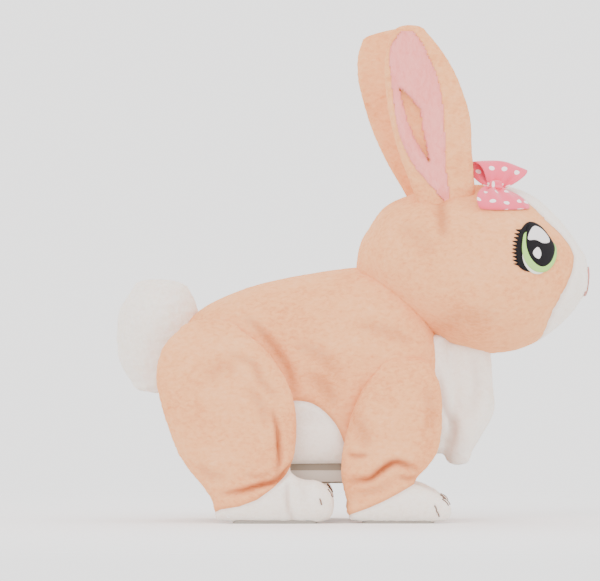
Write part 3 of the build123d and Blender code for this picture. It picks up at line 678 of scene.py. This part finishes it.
def closed_outline(points, count):
    """Many points round a smooth closed curve through a few."""
    looped = points[-1:] + points + points[:2]
    table = np.array(looped, float)
    smooth = []
    for k in range(count):
        place = 1 + k * len(points) / count
        smooth.append(read_rows(table, np.array([place / (len(looped) - 1)]))[0])
    return np.array(smooth)


def thicken(piece, thickness, offset=-1):
    """Gives a thin shell its thickness, in millimetres."""
    wall = piece.modifiers.new("thickness", "SOLIDIFY")
    wall.thickness = thickness * MM
    wall.offset = offset
    settle(piece)


def stitched_patch(name, outline, height, cast, spikes=None, rings=12, around=240):
    """A raised patch of stitches inside an outline. cast lays a 2D point on the skin beneath it, and
    spikes gives the outline's outermost points."""
    edge = closed_outline(outline, around)
    heart = edge.mean(axis=0)
    spiked = spikes(edge) if spikes else edge
    bm = bmesh.new()
    bmesh.ops.create_grid(bm, x_segments=around, y_segments=rings, size=0.5)
    for vert in bm.verts:
        out = vert.co.y + 0.5
        spoke = round((vert.co.x + 0.5) * around) % around
        rim = spiked[spoke] if out > 0.999 else edge[spoke]
        place, normal = cast(*(heart + out * (rim - heart)))
        vert.co = place + normal * (height + STITCH_CROWN * (1 - out**6)) * MM
    bmesh.ops.remove_doubles(bm, verts=bm.verts, dist=0.01 * MM)
    piece = new_piece(name, bm)
    thicken(piece, 1.0)
    return piece


def cast_from_side(x, z):
    """The place on the head's right side at (x, z), and the way the skin faces around it."""
    faced = Vector((0, 0, 0))
    for dx, dz in ((0, 0), (-4, 0), (4, 0), (0, -4), (0, 4)):
        start = Vector(((x + dx) * MM, -0.2, (z + dz) * MM))
        hit, normal, _, _ = head_surface.ray_cast(start, Vector((0, 1, 0)))
        faced += normal
        if dx == dz == 0:
            middle = hit
    return middle, faced.normalized()


def cast_from_front(y, z):
    """The place on the front of the head at (y, z), and the way the skin faces there."""
    hit, normal, _, _ = head_surface.ray_cast(Vector((0.3, y * MM, z * MM)), Vector((-1, 0, 0)))
    return hit, normal


LASH_LOW, LASH_HIGH, LASH_PITCH, LASH_LENGTH = 171.0, 196.0, 2.5, 3.4


def lashes(edge):
    """The lid's edge with its rear pulled out into a row of separate lashes."""
    spiked = edge.copy()
    for i, (x, z) in enumerate(edge):
        if x < 112.5 and LASH_LOW < z < LASH_HIGH:
            phase = ((z - LASH_LOW) / LASH_PITCH) % 1
            tooth = max(0.0, 1 - abs(phase - 0.5) / 0.36)
            spiked[i] = (x - LASH_LENGTH * tooth, z + 0.8 * tooth)
    return spiked


def mirrored(piece, name):
    """The same piece on the rabbit's left side."""
    bm = bmesh.new()
    bm.from_mesh(piece.data)
    bmesh.ops.scale(bm, vec=(1, -1, 1), verts=bm.verts)
    bmesh.ops.reverse_faces(bm, faces=bm.faces)
    mesh = bpy.data.meshes.new(name)
    bm.to_mesh(mesh)
    bm.free()
    for material in piece.data.materials:
        mesh.materials.append(material)
    return in_scene(name, mesh)


EYE_LAYERS = (
    ("lid", LID, 0.6, BLACK, lashes),
    ("white_rim", WHITE_RIM, 1.0, SCLERA, None),
    ("green_rim", GREEN_RIM, 1.4, GREEN, None),
    ("pupil", PUPIL, 1.8, BLACK, None),
    ("big_shine", BIG_SHINE, 2.2, PALE, None),
    ("small_shine", SMALL_SHINE, 2.2, PALE, None),
)
for layer, outline, height, material, spikes in EYE_LAYERS:
    right = stitched_patch(f"eye_{layer}_right", outline, height, cast_from_side, spikes)
    left = mirrored(right, f"eye_{layer}_left")
    dress(right, material, "torso", "eye_right")
    dress(left, material, "torso", "eye_left")

# ---------------------------------------------------------------- nose and mouth
# A small satin-stitched nose at the front of the muzzle, with a mouth in one pink-brown thread.
NOSE = [(-6.5, 168.2), (0, 170.6), (6.5, 168.2), (5.4, 164.6), (1.6, 161.4), (-1.6, 161.4), (-5.4, 164.6)]
NOSE_PINK = thread("nose_thread", (0.86, 0.36, 0.33), turn=math.pi / 2)
MOUTH_THREAD = thread("mouth_thread", (0.62, 0.27, 0.22), pitch=0.8)
nose = stitched_patch("nose_stitches", NOSE, 0.9, cast_from_front, rings=8, around=96)
dress(nose, NOSE_PINK, "torso", "nose")
for name, route in (
    ("mouth_middle", [(0, 162), (0, 158.5), (0, 154.8)]),
    ("mouth_right", [(0, 154.8), (-3.5, 152), (-8, 151.6), (-12, 154)]),
    ("mouth_left", [(0, 154.8), (3.5, 152), (8, 151.6), (12, 154)]),
):
    lay = []
    for y, z in rounded_path(route):
        place, normal = cast_from_front(y, z)
        lay.append(tuple((place + normal * 0.55 * MM) / MM))
    line = tube(name, lay, 0.55)
    dress(line, MOUTH_THREAD, "torso", None)

# ---------------------------------------------------------------- ears
# Long upright leaves of tan plush, stiffened by a core on the ear shaft, with a pink velour lining
# let into the outer face. The lower rear of each is pinched into a fold that runs down to its root.
EAR = [
    (200, 54, 70, -31, -24),
    (206, 45, 79, -34, -20.5),
    (219, 41, 81.5, -35.5, -20),
    (236, 34.5, 80.5, -35.5, -20.5),
    (252, 29, 79.5, -35, -21),
    (270, 24.5, 78.5, -35, -21),
    (288, 22, 73.5, -34, -21.5),
    (304, 21, 66.5, -33, -22),
    (318, 23, 57.5, -32, -22.5),
    (328, 27.5, 49, -31, -24),
    (332.5, 34, 42, -29, -26),
]
LINING_FRONT = [
    (211, 66), (228, 63.5), (242, 62), (262, 61.5), (282, 60), (298, 56.5), (312, 50.5), (322, 45.5),
    (328, 40),
]
LINING_REAR = [
    (211, 63), (226, 51), (240, 39.5), (256, 32), (272, 28), (290, 26), (306, 24.3), (318, 25), (328, 32),
]
LINING_FOOT, LINING_TOP = 213.5, 328.5
FOLD_LIP = [(300, 26), (292, 32), (284, 40), (276, 46.5), (262, 48.5), (250, 51), (236, 54), (222, 59)]
HOLLOW_REAR = [(302, 24), (292, 27), (282, 30), (268, 33.5), (256, 38.5), (246, 44.5), (236, 50.5), (224, 58)]


def smooth_step(value, width):
    """Runs smoothly from 0 to 1 as the value goes from 0 to width."""
    f = np.clip(value / width, 0, 1)
    return f * f * (3 - 2 * f)


def between(points, rear, front):
    """How far points (x, z) lie inside the band between two edges given as (z, x) points."""
    rear_z, rear_x = zip(*sorted(rounded_path(rear)))
    front_z, front_x = zip(*sorted(rounded_path(front)))
    x, z = points[:, 0], points[:, 2]
    inside = np.minimum(x - np.interp(z, rear_z, rear_x), np.interp(z, front_z, front_x) - x)
    return np.minimum(inside, np.minimum(z - LINING_FOOT, LINING_TOP - z))


def fold_depth(points):
    """The depth of the pinched hollow: sharp at the fold's lip, soft towards the rear rim."""
    x, z = points[:, 0], points[:, 2]
    lip_z, lip_x = zip(*sorted(FOLD_LIP))
    rear_z, rear_x = zip(*sorted(HOLLOW_REAR))
    ahead = np.interp(z, lip_z, lip_x) - x
    behind = x - np.interp(z, rear_z, rear_x)
    room = smooth_step(ahead, 3.0) * smooth_step(behind, 7.0)
    return room * smooth_step(300 - z, 18) * smooth_step(z - 222, 12)


PINK_TONES = (0.95, 0.37, 0.33), (0.92, 0.31, 0.28), (0.84, 0.22, 0.19)
PINK = plush("pink_velour", *PINK_TONES, nap=(1.0, 1.0, 0.5), sheen=0.25)
ear = new_piece("ear_right_plush", stuffed_form(EAR, "Z", power=2.4))
melt(ear, 1.25, 5)
points, normals = points_of(ear), normals_of(ear)
outer = np.clip(-normals[:, 1] * 1.6, 0, 1)
lining_room = smooth_step(between(points, LINING_REAR, LINING_FRONT) + 0.5, 2.0)
hollow = fold_depth(points)
lip_gap = distance_to_path(points[:, [2, 0]], FOLD_LIP)[0]
roll = 1.6 * np.exp(-((lip_gap / 3.5) ** 2)) * (hollow < 0.35)
rear_z, rear_x = zip(*sorted(HOLLOW_REAR))
rear_gap = np.interp(points[:, 2], rear_z, rear_x) - points[:, 0]
rim = 3.2 * np.exp(-(((rear_gap - 3.5) / 4.0) ** 2)) * smooth_step(290 - points[:, 2], 25)
LINING_RECESS, HOLLOW_DEPTH = 1.2, 3.8
out = outer * (roll + rim - LINING_RECESS * lining_room - HOLLOW_DEPTH * hollow)
cup = 0.0045 * np.abs(points[:, 0] - (62 - 0.2 * (points[:, 2] - 212))) ** 1.8
points[:, 1] -= out + np.minimum(cup, 2.0)
move_points(ear, points)
ear_lining = in_scene("ear_right_lining", ear.data.copy())


def on_lining(middles):
    """Whether each point is on the pink lining, which stops at the mouth of the pinched hollow."""
    in_pocket = fold_depth(middles) > 0.3
    return (between(middles, LINING_REAR, LINING_FRONT) > 0.3) & (middles[:, 1] < -26) & ~in_pocket


keep_faces(ear_lining, on_lining)
points, normals = points_of(ear_lining), normals_of(ear_lining)
LINING_RISE, LINING_THICKNESS = 0.9, 1.1
move_points(ear_lining, points + normals * LINING_RISE)
thicken(ear_lining, LINING_THICKNESS)
pile(ear, 0.5, 3)
pile(ear_lining, 0.3, 3)
# The left ear's rear edge leans back. Its front edge hardly moves, so that the core stays inside it.
FAR_EAR_LEAN = math.radians(-9.5)
far_ear, far_lining = mirrored(ear, "ear_left_plush"), mirrored(ear_lining, "ear_left_lining")
EAR_AXLE = (58, 196)
ear_z, ear_rear_x, ear_front_x = np.array(EAR)[:, :3].T
for piece in (far_ear, far_lining):
    points = points_of(piece)
    rear = np.interp(points[:, 2], ear_z, ear_rear_x)
    front = np.interp(points[:, 2], ear_z, ear_front_x)
    turn = FAR_EAR_LEAN * (1 - 0.85 * smooth_step(points[:, 0] - rear, front - rear))
    x, z = points[:, 0] - EAR_AXLE[0], points[:, 2] - EAR_AXLE[1]
    points[:, 0] = EAR_AXLE[0] + x * np.cos(turn) + z * np.sin(turn)
    points[:, 2] = EAR_AXLE[1] - x * np.sin(turn) + z * np.cos(turn)
    move_points(piece, points)
dress(ear, TAN, "ears", "ear_cover_right")
dress(far_ear, TAN, "ears", "ear_cover_left")
dress(ear_lining, PINK, "ears", "ear_lining_right")
dress(far_lining, PINK, "ears", "ear_lining_left")

# ---------------------------------------------------------------- bow
# A ribbon bow sewn in front of the right ear: an upper loop that stands up, a lower loop that droops
# on the head, and a short knot round their gathers. Coral satin printed with white ovals.
ROW_PITCH, OVAL_PITCH, OVAL_HALF_WIDTH, OVAL_HALF_LENGTH = 7.5, 10.5, 1.1, 2.3


def dotted_ribbon(name, colour, dot):
    """Satin with rows of white ovals, laid out on the ribbon's own UV map in millimetres."""
    material, tree, surface = shader(name)
    nodes, links = tree.nodes, tree.links

    def calculate(operation, one, two=None):
        node = nodes.new("ShaderNodeMath")
        node.operation = operation
        for socket, value in zip(node.inputs, (one, two)):
            if value is None:
                continue
            if isinstance(value, (int, float)):
                socket.default_value = value
            else:
                links.new(value, socket)
        return node.outputs[0]

    flat = nodes.new("ShaderNodeUVMap")
    split = nodes.new("ShaderNodeSeparateXYZ")
    links.new(flat.outputs["UV"], split.inputs[0])
    row = calculate("DIVIDE", split.outputs["X"], ROW_PITCH)
    odd = calculate("MULTIPLY", calculate("MODULO", calculate("FLOOR", row), 2.0), 0.5)
    column = calculate("ADD", calculate("DIVIDE", split.outputs["Y"], OVAL_PITCH), odd)
    across = calculate("SUBTRACT", calculate("FRACT", row), 0.5)
    down = calculate("SUBTRACT", calculate("FRACT", column), 0.5)
    across = calculate("MULTIPLY", across, ROW_PITCH / OVAL_HALF_WIDTH)
    down = calculate("MULTIPLY", down, OVAL_PITCH / OVAL_HALF_LENGTH)
    spread = calculate("ADD", calculate("POWER", across, 2.0), calculate("POWER", down, 2.0))
    links.new(tone_ramp(tree, spread, ((0.85, dot), (1, colour))), surface.inputs["Base Color"])
    ribs = nodes.new("ShaderNodeTexWave")
    ribs.bands_direction = "X"
    ribs.inputs["Scale"].default_value = math.pi / 10 / 0.6
    links.new(flat.outputs["UV"], ribs.inputs["Vector"])
    links.new(raised(tree, ribs.outputs["Fac"], 0.25, 0.15).outputs["Normal"], surface.inputs["Normal"])
    fill_in(surface, {"Roughness": 0.5, "Sheen Weight": 0.35})
    return material


RIBBON = dotted_ribbon("coral_ribbon", (0.89, 0.085, 0.165), (0.95, 0.86, 0.86))


RIBBON_CLEARANCE, RIBBON_THICKNESS = 1.2, 0.6


def ribbon_loop(name, root, out, front, length, puff, wide, skew, narrow=9.0):
    """A flat ribbon that leaves the knot along out, turns over and comes back, puffed towards front.
    Where it would dip into the head, it lies on the plush."""
    out, front = Vector(out).normalized(), Vector(front).normalized()
    side = out.cross(front).normalized()
    bm = bmesh.new()
    bmesh.ops.create_grid(bm, x_segments=72, y_segments=30, size=0.5)
    uv = bm.loops.layers.uv.new("ribbon")
    flat = {}
    for vert in bm.verts:
        along, across = vert.co.x + 0.5, vert.co.y
        angle = 2 * math.pi * along
        reach = length * (1 - math.cos(angle)) / 2
        far = reach / length
        swell = puff * math.sin(angle) * (0.35 + 0.65 * far)
        width = narrow + (wide - narrow) * far**0.7
        pleat = 1.3 * math.sin(across * 5 * math.pi) * (1 - far) ** 0.5
        pleat += 0.7 * math.sin(across * 3 * math.pi + 1) * far
        bend = far * (1.2 - 3.2 * (2 * across) ** 2)
        place = Vector(root) + out * (reach + bend)
        place += side * (across * width + skew * swell) + front * (swell + pleat)
        flat[vert] = (along * 2.1 * length, across * wide)
        vert.co = place * MM
        nearest, normal, _, _ = head_surface.find_nearest(vert.co)
        if (vert.co - nearest).dot(normal) < RIBBON_CLEARANCE * MM:
            vert.co = nearest + normal * RIBBON_CLEARANCE * MM
    for face in bm.faces:
        for loop in face.loops:
            loop[uv].uv = flat[loop.vert]
    mesh = bpy.data.meshes.new(name)
    bm.to_mesh(mesh)
    bm.free()
    piece = in_scene(name, mesh)
    thicken(piece, RIBBON_THICKNESS, offset=0)
    return piece


KNOT = (95.5, -27, 223.5)
upper_way, upper_face = (0.10, 0.34, 0.94), (0.15, -0.95, 0.28)
lower_way, lower_face = (0.20, -0.76, -0.62), (0.22, -0.60, 0.77)
upper_loop = ribbon_loop("bow_upper_loop", KNOT, upper_way, upper_face, 17.5, 6.0, 35, skew=0.9)
lower_loop = ribbon_loop("bow_lower_loop", KNOT, lower_way, lower_face, 23.5, 7.0, 33, skew=0.7)
for loop, flat_size, flat_area in (
    (upper_loop, (0.035, 0.037), 0.00125),
    (lower_loop, (0.033, 0.049), 0.00142),
):
    dress(loop, RIBBON, "torso", "bow")
knot = new_piece("bow_knot", stuffed_form([
    (KNOT[2] - 5, 93.5, 97.5, -31, -27),
    (KNOT[2] - 3.6, 91.5, 99.5, -33.5, -24),
    (KNOT[2], 91, 100, -34.5, -23.5),
    (KNOT[2] + 3.6, 91.5, 99.5, -33.5, -24),
    (KNOT[2] + 5, 93.5, 97.5, -31, -27),
], "Z"))
for rear, middle, front in ((1.5, 2, 1.2), (-1.5, -1, -2)):
    crease(knot, [(91, KNOT[2] + rear), (96, KNOT[2] + middle), (100, KNOT[2] + front)], 0.7, 0.8)
knot_uv = knot.data.uv_layers.new(name="ribbon")
for corner in knot.data.loops:
    place = knot.data.vertices[corner.vertex_index].co / MM
    knot_uv.data[corner.index].uv = (place.x, place.z)
dress(knot, RIBBON, "torso", "bow")

# ---------------------------------------------------------------- hind legs
# A stuffed tan thigh lies flat against the flank and runs down into a long white foot. Both are one
# skin over the plastic leg frame, with a sunk seam where the tan cloth meets the white.
THIGH = [
    (6, -88, -70, -60, -50),
    (14, -93, -58, -64, -45),
    (24, -99.5, -48, -66.5, -44.5),
    (34, -108, -42, -67.5, -45),
    (46, -116, -39, -68.5, -46),
    (62, -122.5, -37.5, -69, -46),
    (78, -127.5, -38.5, -69, -46),
    (94, -131, -43.5, -68, -46),
    (108, -130, -52, -65.5, -46),
    (120, -125, -62.5, -61, -46),
    (130, -115, -76, -55, -45.5),
    (136, -102, -88, -50, -45),
]
HIND_FOOT = [
    (-93, -58, -50, 6, 12),
    (-88, -62, -46, 2.2, 18),
    (-76, -66, -42, 0.6, 25),
    (-60, -68, -41, 0.4, 31),
    (-45, -68, -41, 0.4, 34),
    (-34, -67.5, -41, 0.4, 29.5),
    (-24, -67, -41.5, 0.6, 28.5),
    (-17.5, -64.5, -44, 2.6, 25),
    (-12.5, -58, -50, 8, 18.5),
]
HIND_SEAM = [(-97, 5), (-88, 9.5), (-76, 11.5), (-64, 16), (-53, 24), (-45, 32), (-41, 39), (-37, 43)]
THIGH_FOLDS = (
    ([(-88, 20), (-76, 21.6), (-64.7, 25), (-51.3, 29.3), (-42.5, 37), (-38, 40)], 3.2, 1.9),
    ([(-72, 33), (-62, 31.5), (-54, 35)], 1.2, 1.8),
    ([(-54, 76), (-50.5, 64), (-49.5, 52), (-49, 42), (-51, 34)], 2.9, 1.8),
    ([(-84, 113), (-67, 107), (-61, 95), (-51, 84)], 1.1, 3.2),
    ([(-70, 92), (-62, 80), (-57, 66)], 0.8, 4.0),
    ([(-98, 96), (-88, 104), (-76, 102)], 0.7, 6.0),
    ([(-104, 40), (-96, 33), (-84, 30)], 0.9, 3.5),
)
FOOT_FOLDS = (
    ([(-43.6, 29), (-44, 20), (-43.2, 10), (-40, 1)], 1.7, 1.8),
    ([(-36, 28), (-33, 22), (-34, 15)], 0.7, 3.0),
)


def make_leg(names, forms, folds, stitches, seam_line, joined, replaced, toes):
    """One leg: its forms melted into a skin, folds drawn in, and split at the tan and white seam.
    toes holds the start and end of each toe stitch, near the skin."""
    leg = new_piece(names[0], *forms)
    melt(leg, 1.5, 7)
    line_x, line_z = zip(*seam_line)
    for path, depth, width in folds:
        crease(leg, path, depth, width)
    seam(leg, lambda points: distance_to_path(points[:, [0, 2]], rounded_path(seam_line))[0], 0.9, 1.5)
    for toe in toes:
        points, normals = points_of(leg), normals_of(leg)
        dent = np.exp(-((distance_to_path(points, toe)[0] / 1.6) ** 2))
        move_points(leg, points - normals * 0.9 * dent[:, None])
    surface = BVHTree.FromObject(leg, bpy.context.evaluated_depsgraph_get())
    pile(leg, 0.9)

    def below_seam(points):
        """How far each point lies below the seam, in millimetres. All above 44 is tan."""
        return np.minimum(np.interp(points[:, 0], line_x, line_z), 44) - points[:, 2]

    foot = split_off(leg, names[1], below_seam)
    threads = []
    for number, (start, end) in enumerate(toes):
        lay = []
        for step in np.linspace(0, 1, 7):
            place = Vector(start).lerp(Vector(end), step) * MM
            hit, normal, _, _ = surface.find_nearest(place)
            lay.append(tuple((hit + normal * 0.3 * MM) / MM))
        threads.append(tube(f"{stitches}_{number + 1}_right", lay, 0.45))
    finished = [
        (leg, TAN, replaced[0], "tan_plush", 0.8),
        (foot, CREAM, replaced[1], "white_plush", 0.75),
        *((line, TOE_THREAD, None, "nose_thread", None) for line in threads),
    ]
    for piece, material, node, slot_name, fill in finished:
        other = mirrored(piece, piece.name.replace("right", "left"))
        dress(piece, material, joined, node and f"{node}_right")
        dress(other, material, joined, node and f"{node}_left")


TOE_THREAD = thread("toe_thread", (0.20, 0.11, 0.07), pitch=0.9)
HIND_TOES = [
    [(-21.5, -68, 17), (-20.3, -67, 12.8)],
    [(-16, -60, 24), (-12, -60, 18)],
    [(-16, -54.5, 24.5), (-12, -54.5, 18)],
    [(-16, -49, 24), (-12, -49, 18)],
]
make_leg(
    ("hind_leg_right", "hind_foot_right_skin"),
    (stuffed_form(THIGH, "Z", power=2.3), stuffed_form(HIND_FOOT, power=2.4)),
    THIGH_FOLDS + FOOT_FOLDS, "hind_toe", HIND_SEAM, "hind_legs", ("thigh", "hind_foot"), HIND_TOES,
)

# ---------------------------------------------------------------- front legs
# The upper arm is a stuffed fold of the same tan plush. It bends deeply at the wrist and ends in a
# white paw with stitched toes.
ARM = [
    (5, 5, 34, -56, -44),
    (11, -3, 42, -61, -40),
    (20, -5.5, 41.5, -62, -39),
    (29, -7.5, 42, -62.5, -39),
    (38, -8, 50, -63, -39.5),
    (48, -7, 56.5, -64, -40),
    (62, -4, 59, -64.5, -40),
    (78, 1, 59.5, -63, -40),
    (92, 8, 58, -59.5, -40),
    (104, 18, 53, -53.5, -40),
    (111, 28, 44, -48, -41),
]
PAW = [
    (-4.5, -55, -46, 5, 11),
    (2, -60, -42, 1.6, 16),
    (14, -62, -39, 0.5, 23.5),
    (28, -62.5, -38.5, 0.4, 26.5),
    (42, -62.5, -38.5, 0.4, 25.5),
    (52, -61.5, -39.5, 0.7, 22),
    (60, -59, -42, 1.6, 17),
    (65.8, -53, -47, 5.5, 11.5),
]
FRONT_SEAM = [(-12, 1.5), (-0.6, 6.4), (10, 10.3), (20.4, 14.9), (30, 20), (37.3, 24.2), (52, 33)]
ARM_FOLDS = (
    ([(-4, 27.5), (4, 28.7), (11.5, 30), (19.5, 36), (27.5, 40.5), (36, 38.5), (42, 35)], 4.4, 2.2),
    ([(-4, 46), (2, 45), (10, 45.5)], 1.8, 1.8),
    ([(30, 31), (37, 29.8), (44, 31)], 1.4, 1.8),
    ([(2, 20), (14, 22), (26, 27)], 0.8, 3.0),
    ([(-2, 74), (6, 62), (10, 50)], 1.0, 5.0),
    ([(48, 92), (52, 76), (50, 60)], 0.8, 5.0),
)
FRONT_TOES = [
    [(54.7, -62, 12.2), (57.9, -60, 3.6)],
    [(60, -55, 17), (64, -55, 12)],
    [(60, -50.5, 17.5), (64, -50.5, 12)],
    [(60, -46, 17), (64, -46, 12)],
]
make_leg(
    ("front_leg_right_skin", "front_paw_right_skin"),
    (stuffed_form(ARM, "Z", power=2.3), stuffed_form(PAW, power=2.4)),
    ARM_FOLDS, "front_toe", FRONT_SEAM, "front_legs", ("front_leg", "front_paw"), FRONT_TOES,
)

# ---------------------------------------------------------------- plastic housing, door and switch
# A taupe ABS tray under the belly, its dark tone partly its own colour and partly painted shade under
# the plush, with a paler lip round its lower edge, a battery door held by one screw, and a black slide switch
# in a slot.
def moulded(name, colour, roughness=0.48, grain=0.25):
    """Moulded plastic with a fine spark-eroded grain and slight unevenness."""
    material, tree, surface = shader(name)
    nodes, links = tree.nodes, tree.links
    where = nodes.new("ShaderNodeTexCoord")
    fine, broad = nodes.new("ShaderNodeTexNoise"), nodes.new("ShaderNodeTexNoise")
    for noise, scale in ((fine, 2200), (broad, 45)):
        noise.inputs["Scale"].default_value = scale
        links.new(where.outputs["Object"], noise.inputs["Vector"])
    dark, light = (tuple(min(share * c, 1) for c in colour) for share in (0.9, 1.05))
    tone = tone_ramp(tree, broad.outputs["Fac"], ((0, dark), (1, light)))
    links.new(tone, surface.inputs["Base Color"])
    links.new(raised(tree, fine.outputs["Fac"], grain, 0.08).outputs["Normal"], surface.inputs["Normal"])
    surface.inputs["Roughness"].default_value = roughness
    return material


# Painted shade in part: the housing's taupe is about half as bright as the lip's, for the shade under the
# plush hem.
SHADED_TAUPE = moulded("taupe_abs", (0.30, 0.25, 0.185))
PALE_TAUPE = moulded("pale_taupe_abs", (0.60, 0.53, 0.46))
WHITE_ABS = moulded("white_abs", (0.80, 0.80, 0.77), 0.4)
ACETAL = moulded("acetal", (0.86, 0.84, 0.76), 0.35, 0.1)
BLACK_ABS = moulded("black_abs", (0.02, 0.02, 0.02), 0.4)
RUBBER = moulded("sole_rubber", (0.33, 0.29, 0.25), 0.85, 0.6)
CELL_WRAP = moulded("cell_wrap", (0.05, 0.11, 0.24), 0.3, 0.05)
BOARD_GREEN = moulded("board_green", (0.03, 0.17, 0.07), 0.35, 0.1)
STEEL = moulded("bright_steel", (0.62, 0.62, 0.62), 0.28, 0.1)
STEEL.node_tree.nodes["Principled BSDF"].inputs["Metallic"].default_value = 1.0
CAD_FINISHES = {
    SHADED_TAUPE: ("battery_housing",),
    PALE_TAUPE: ("battery_door",),
    WHITE_ABS: ("chassis_left", "chassis_right", "skull_left", "skull_right", "neck_post", "ear_bracket",
                "hind_leg_frames", "front_leg_frames", "ear_cores"),
    ACETAL: ("rocker", "shoulder_arm", "link_rod", "crank_gear", "gear_two", "gear_one", "motor_pinion",
             "ear_pinion", "ear_sector_gear"),
    BLACK_ABS: ("switch_knob", "switch_body", "back_button", "speaker"),
    RUBBER: ("hind_soles", "front_soles"),
    CELL_WRAP: ("batteries",),
    BOARD_GREEN: ("circuit_board",),
    STEEL: ("gear_axles", "battery_contacts", "drive_motor", "button_spring", "casing_screws", "ear_motor",
            "hip_shaft", "shoulder_shaft", "ear_shaft", "door_screw"),
}
for material, nodes in CAD_FINISHES.items():
    for node in nodes:
        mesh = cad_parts[node].data
        mesh.materials.clear()
        mesh.materials.append(material)

LIP_LOW, LIP_HIGH, LIP_STEP, LIP_THICKNESS, LIP_CORNER = 27.0, 34.8, 1.1, 1.6, 10


def housing_band(name, z_low, z_high):
    """An upright band with softened edges round the housing."""
    outer = rounded_rectangle(housing_low - LIP_STEP, housing_high + LIP_STEP, LIP_CORNER)
    bm = bmesh.new()
    ring = [bm.verts.new((x * MM, y * MM, z_low * MM)) for x, y in outer]
    edges = [bm.edges.new((a, b)) for a, b in zip(ring, ring[1:] + ring[:1])]
    raised = bmesh.ops.extrude_edge_only(bm, edges=edges)
    tops = [part for part in raised["geom"] if isinstance(part, bmesh.types.BMVert)]
    bmesh.ops.translate(bm, vec=(0, 0, (z_high - z_low) * MM), verts=tops)
    band = new_piece(name, bm)
    thicken(band, LIP_THICKNESS)
    soft = band.modifiers.new("band_edges", "BEVEL")
    soft.width = 0.5 * MM
    soft.segments = 3
    soft.limit_method = "ANGLE"
    settle(band)
    return band


lip = housing_band("housing_lip", LIP_LOW, LIP_HIGH)
dress(lip, PALE_TAUPE, "torso", None)
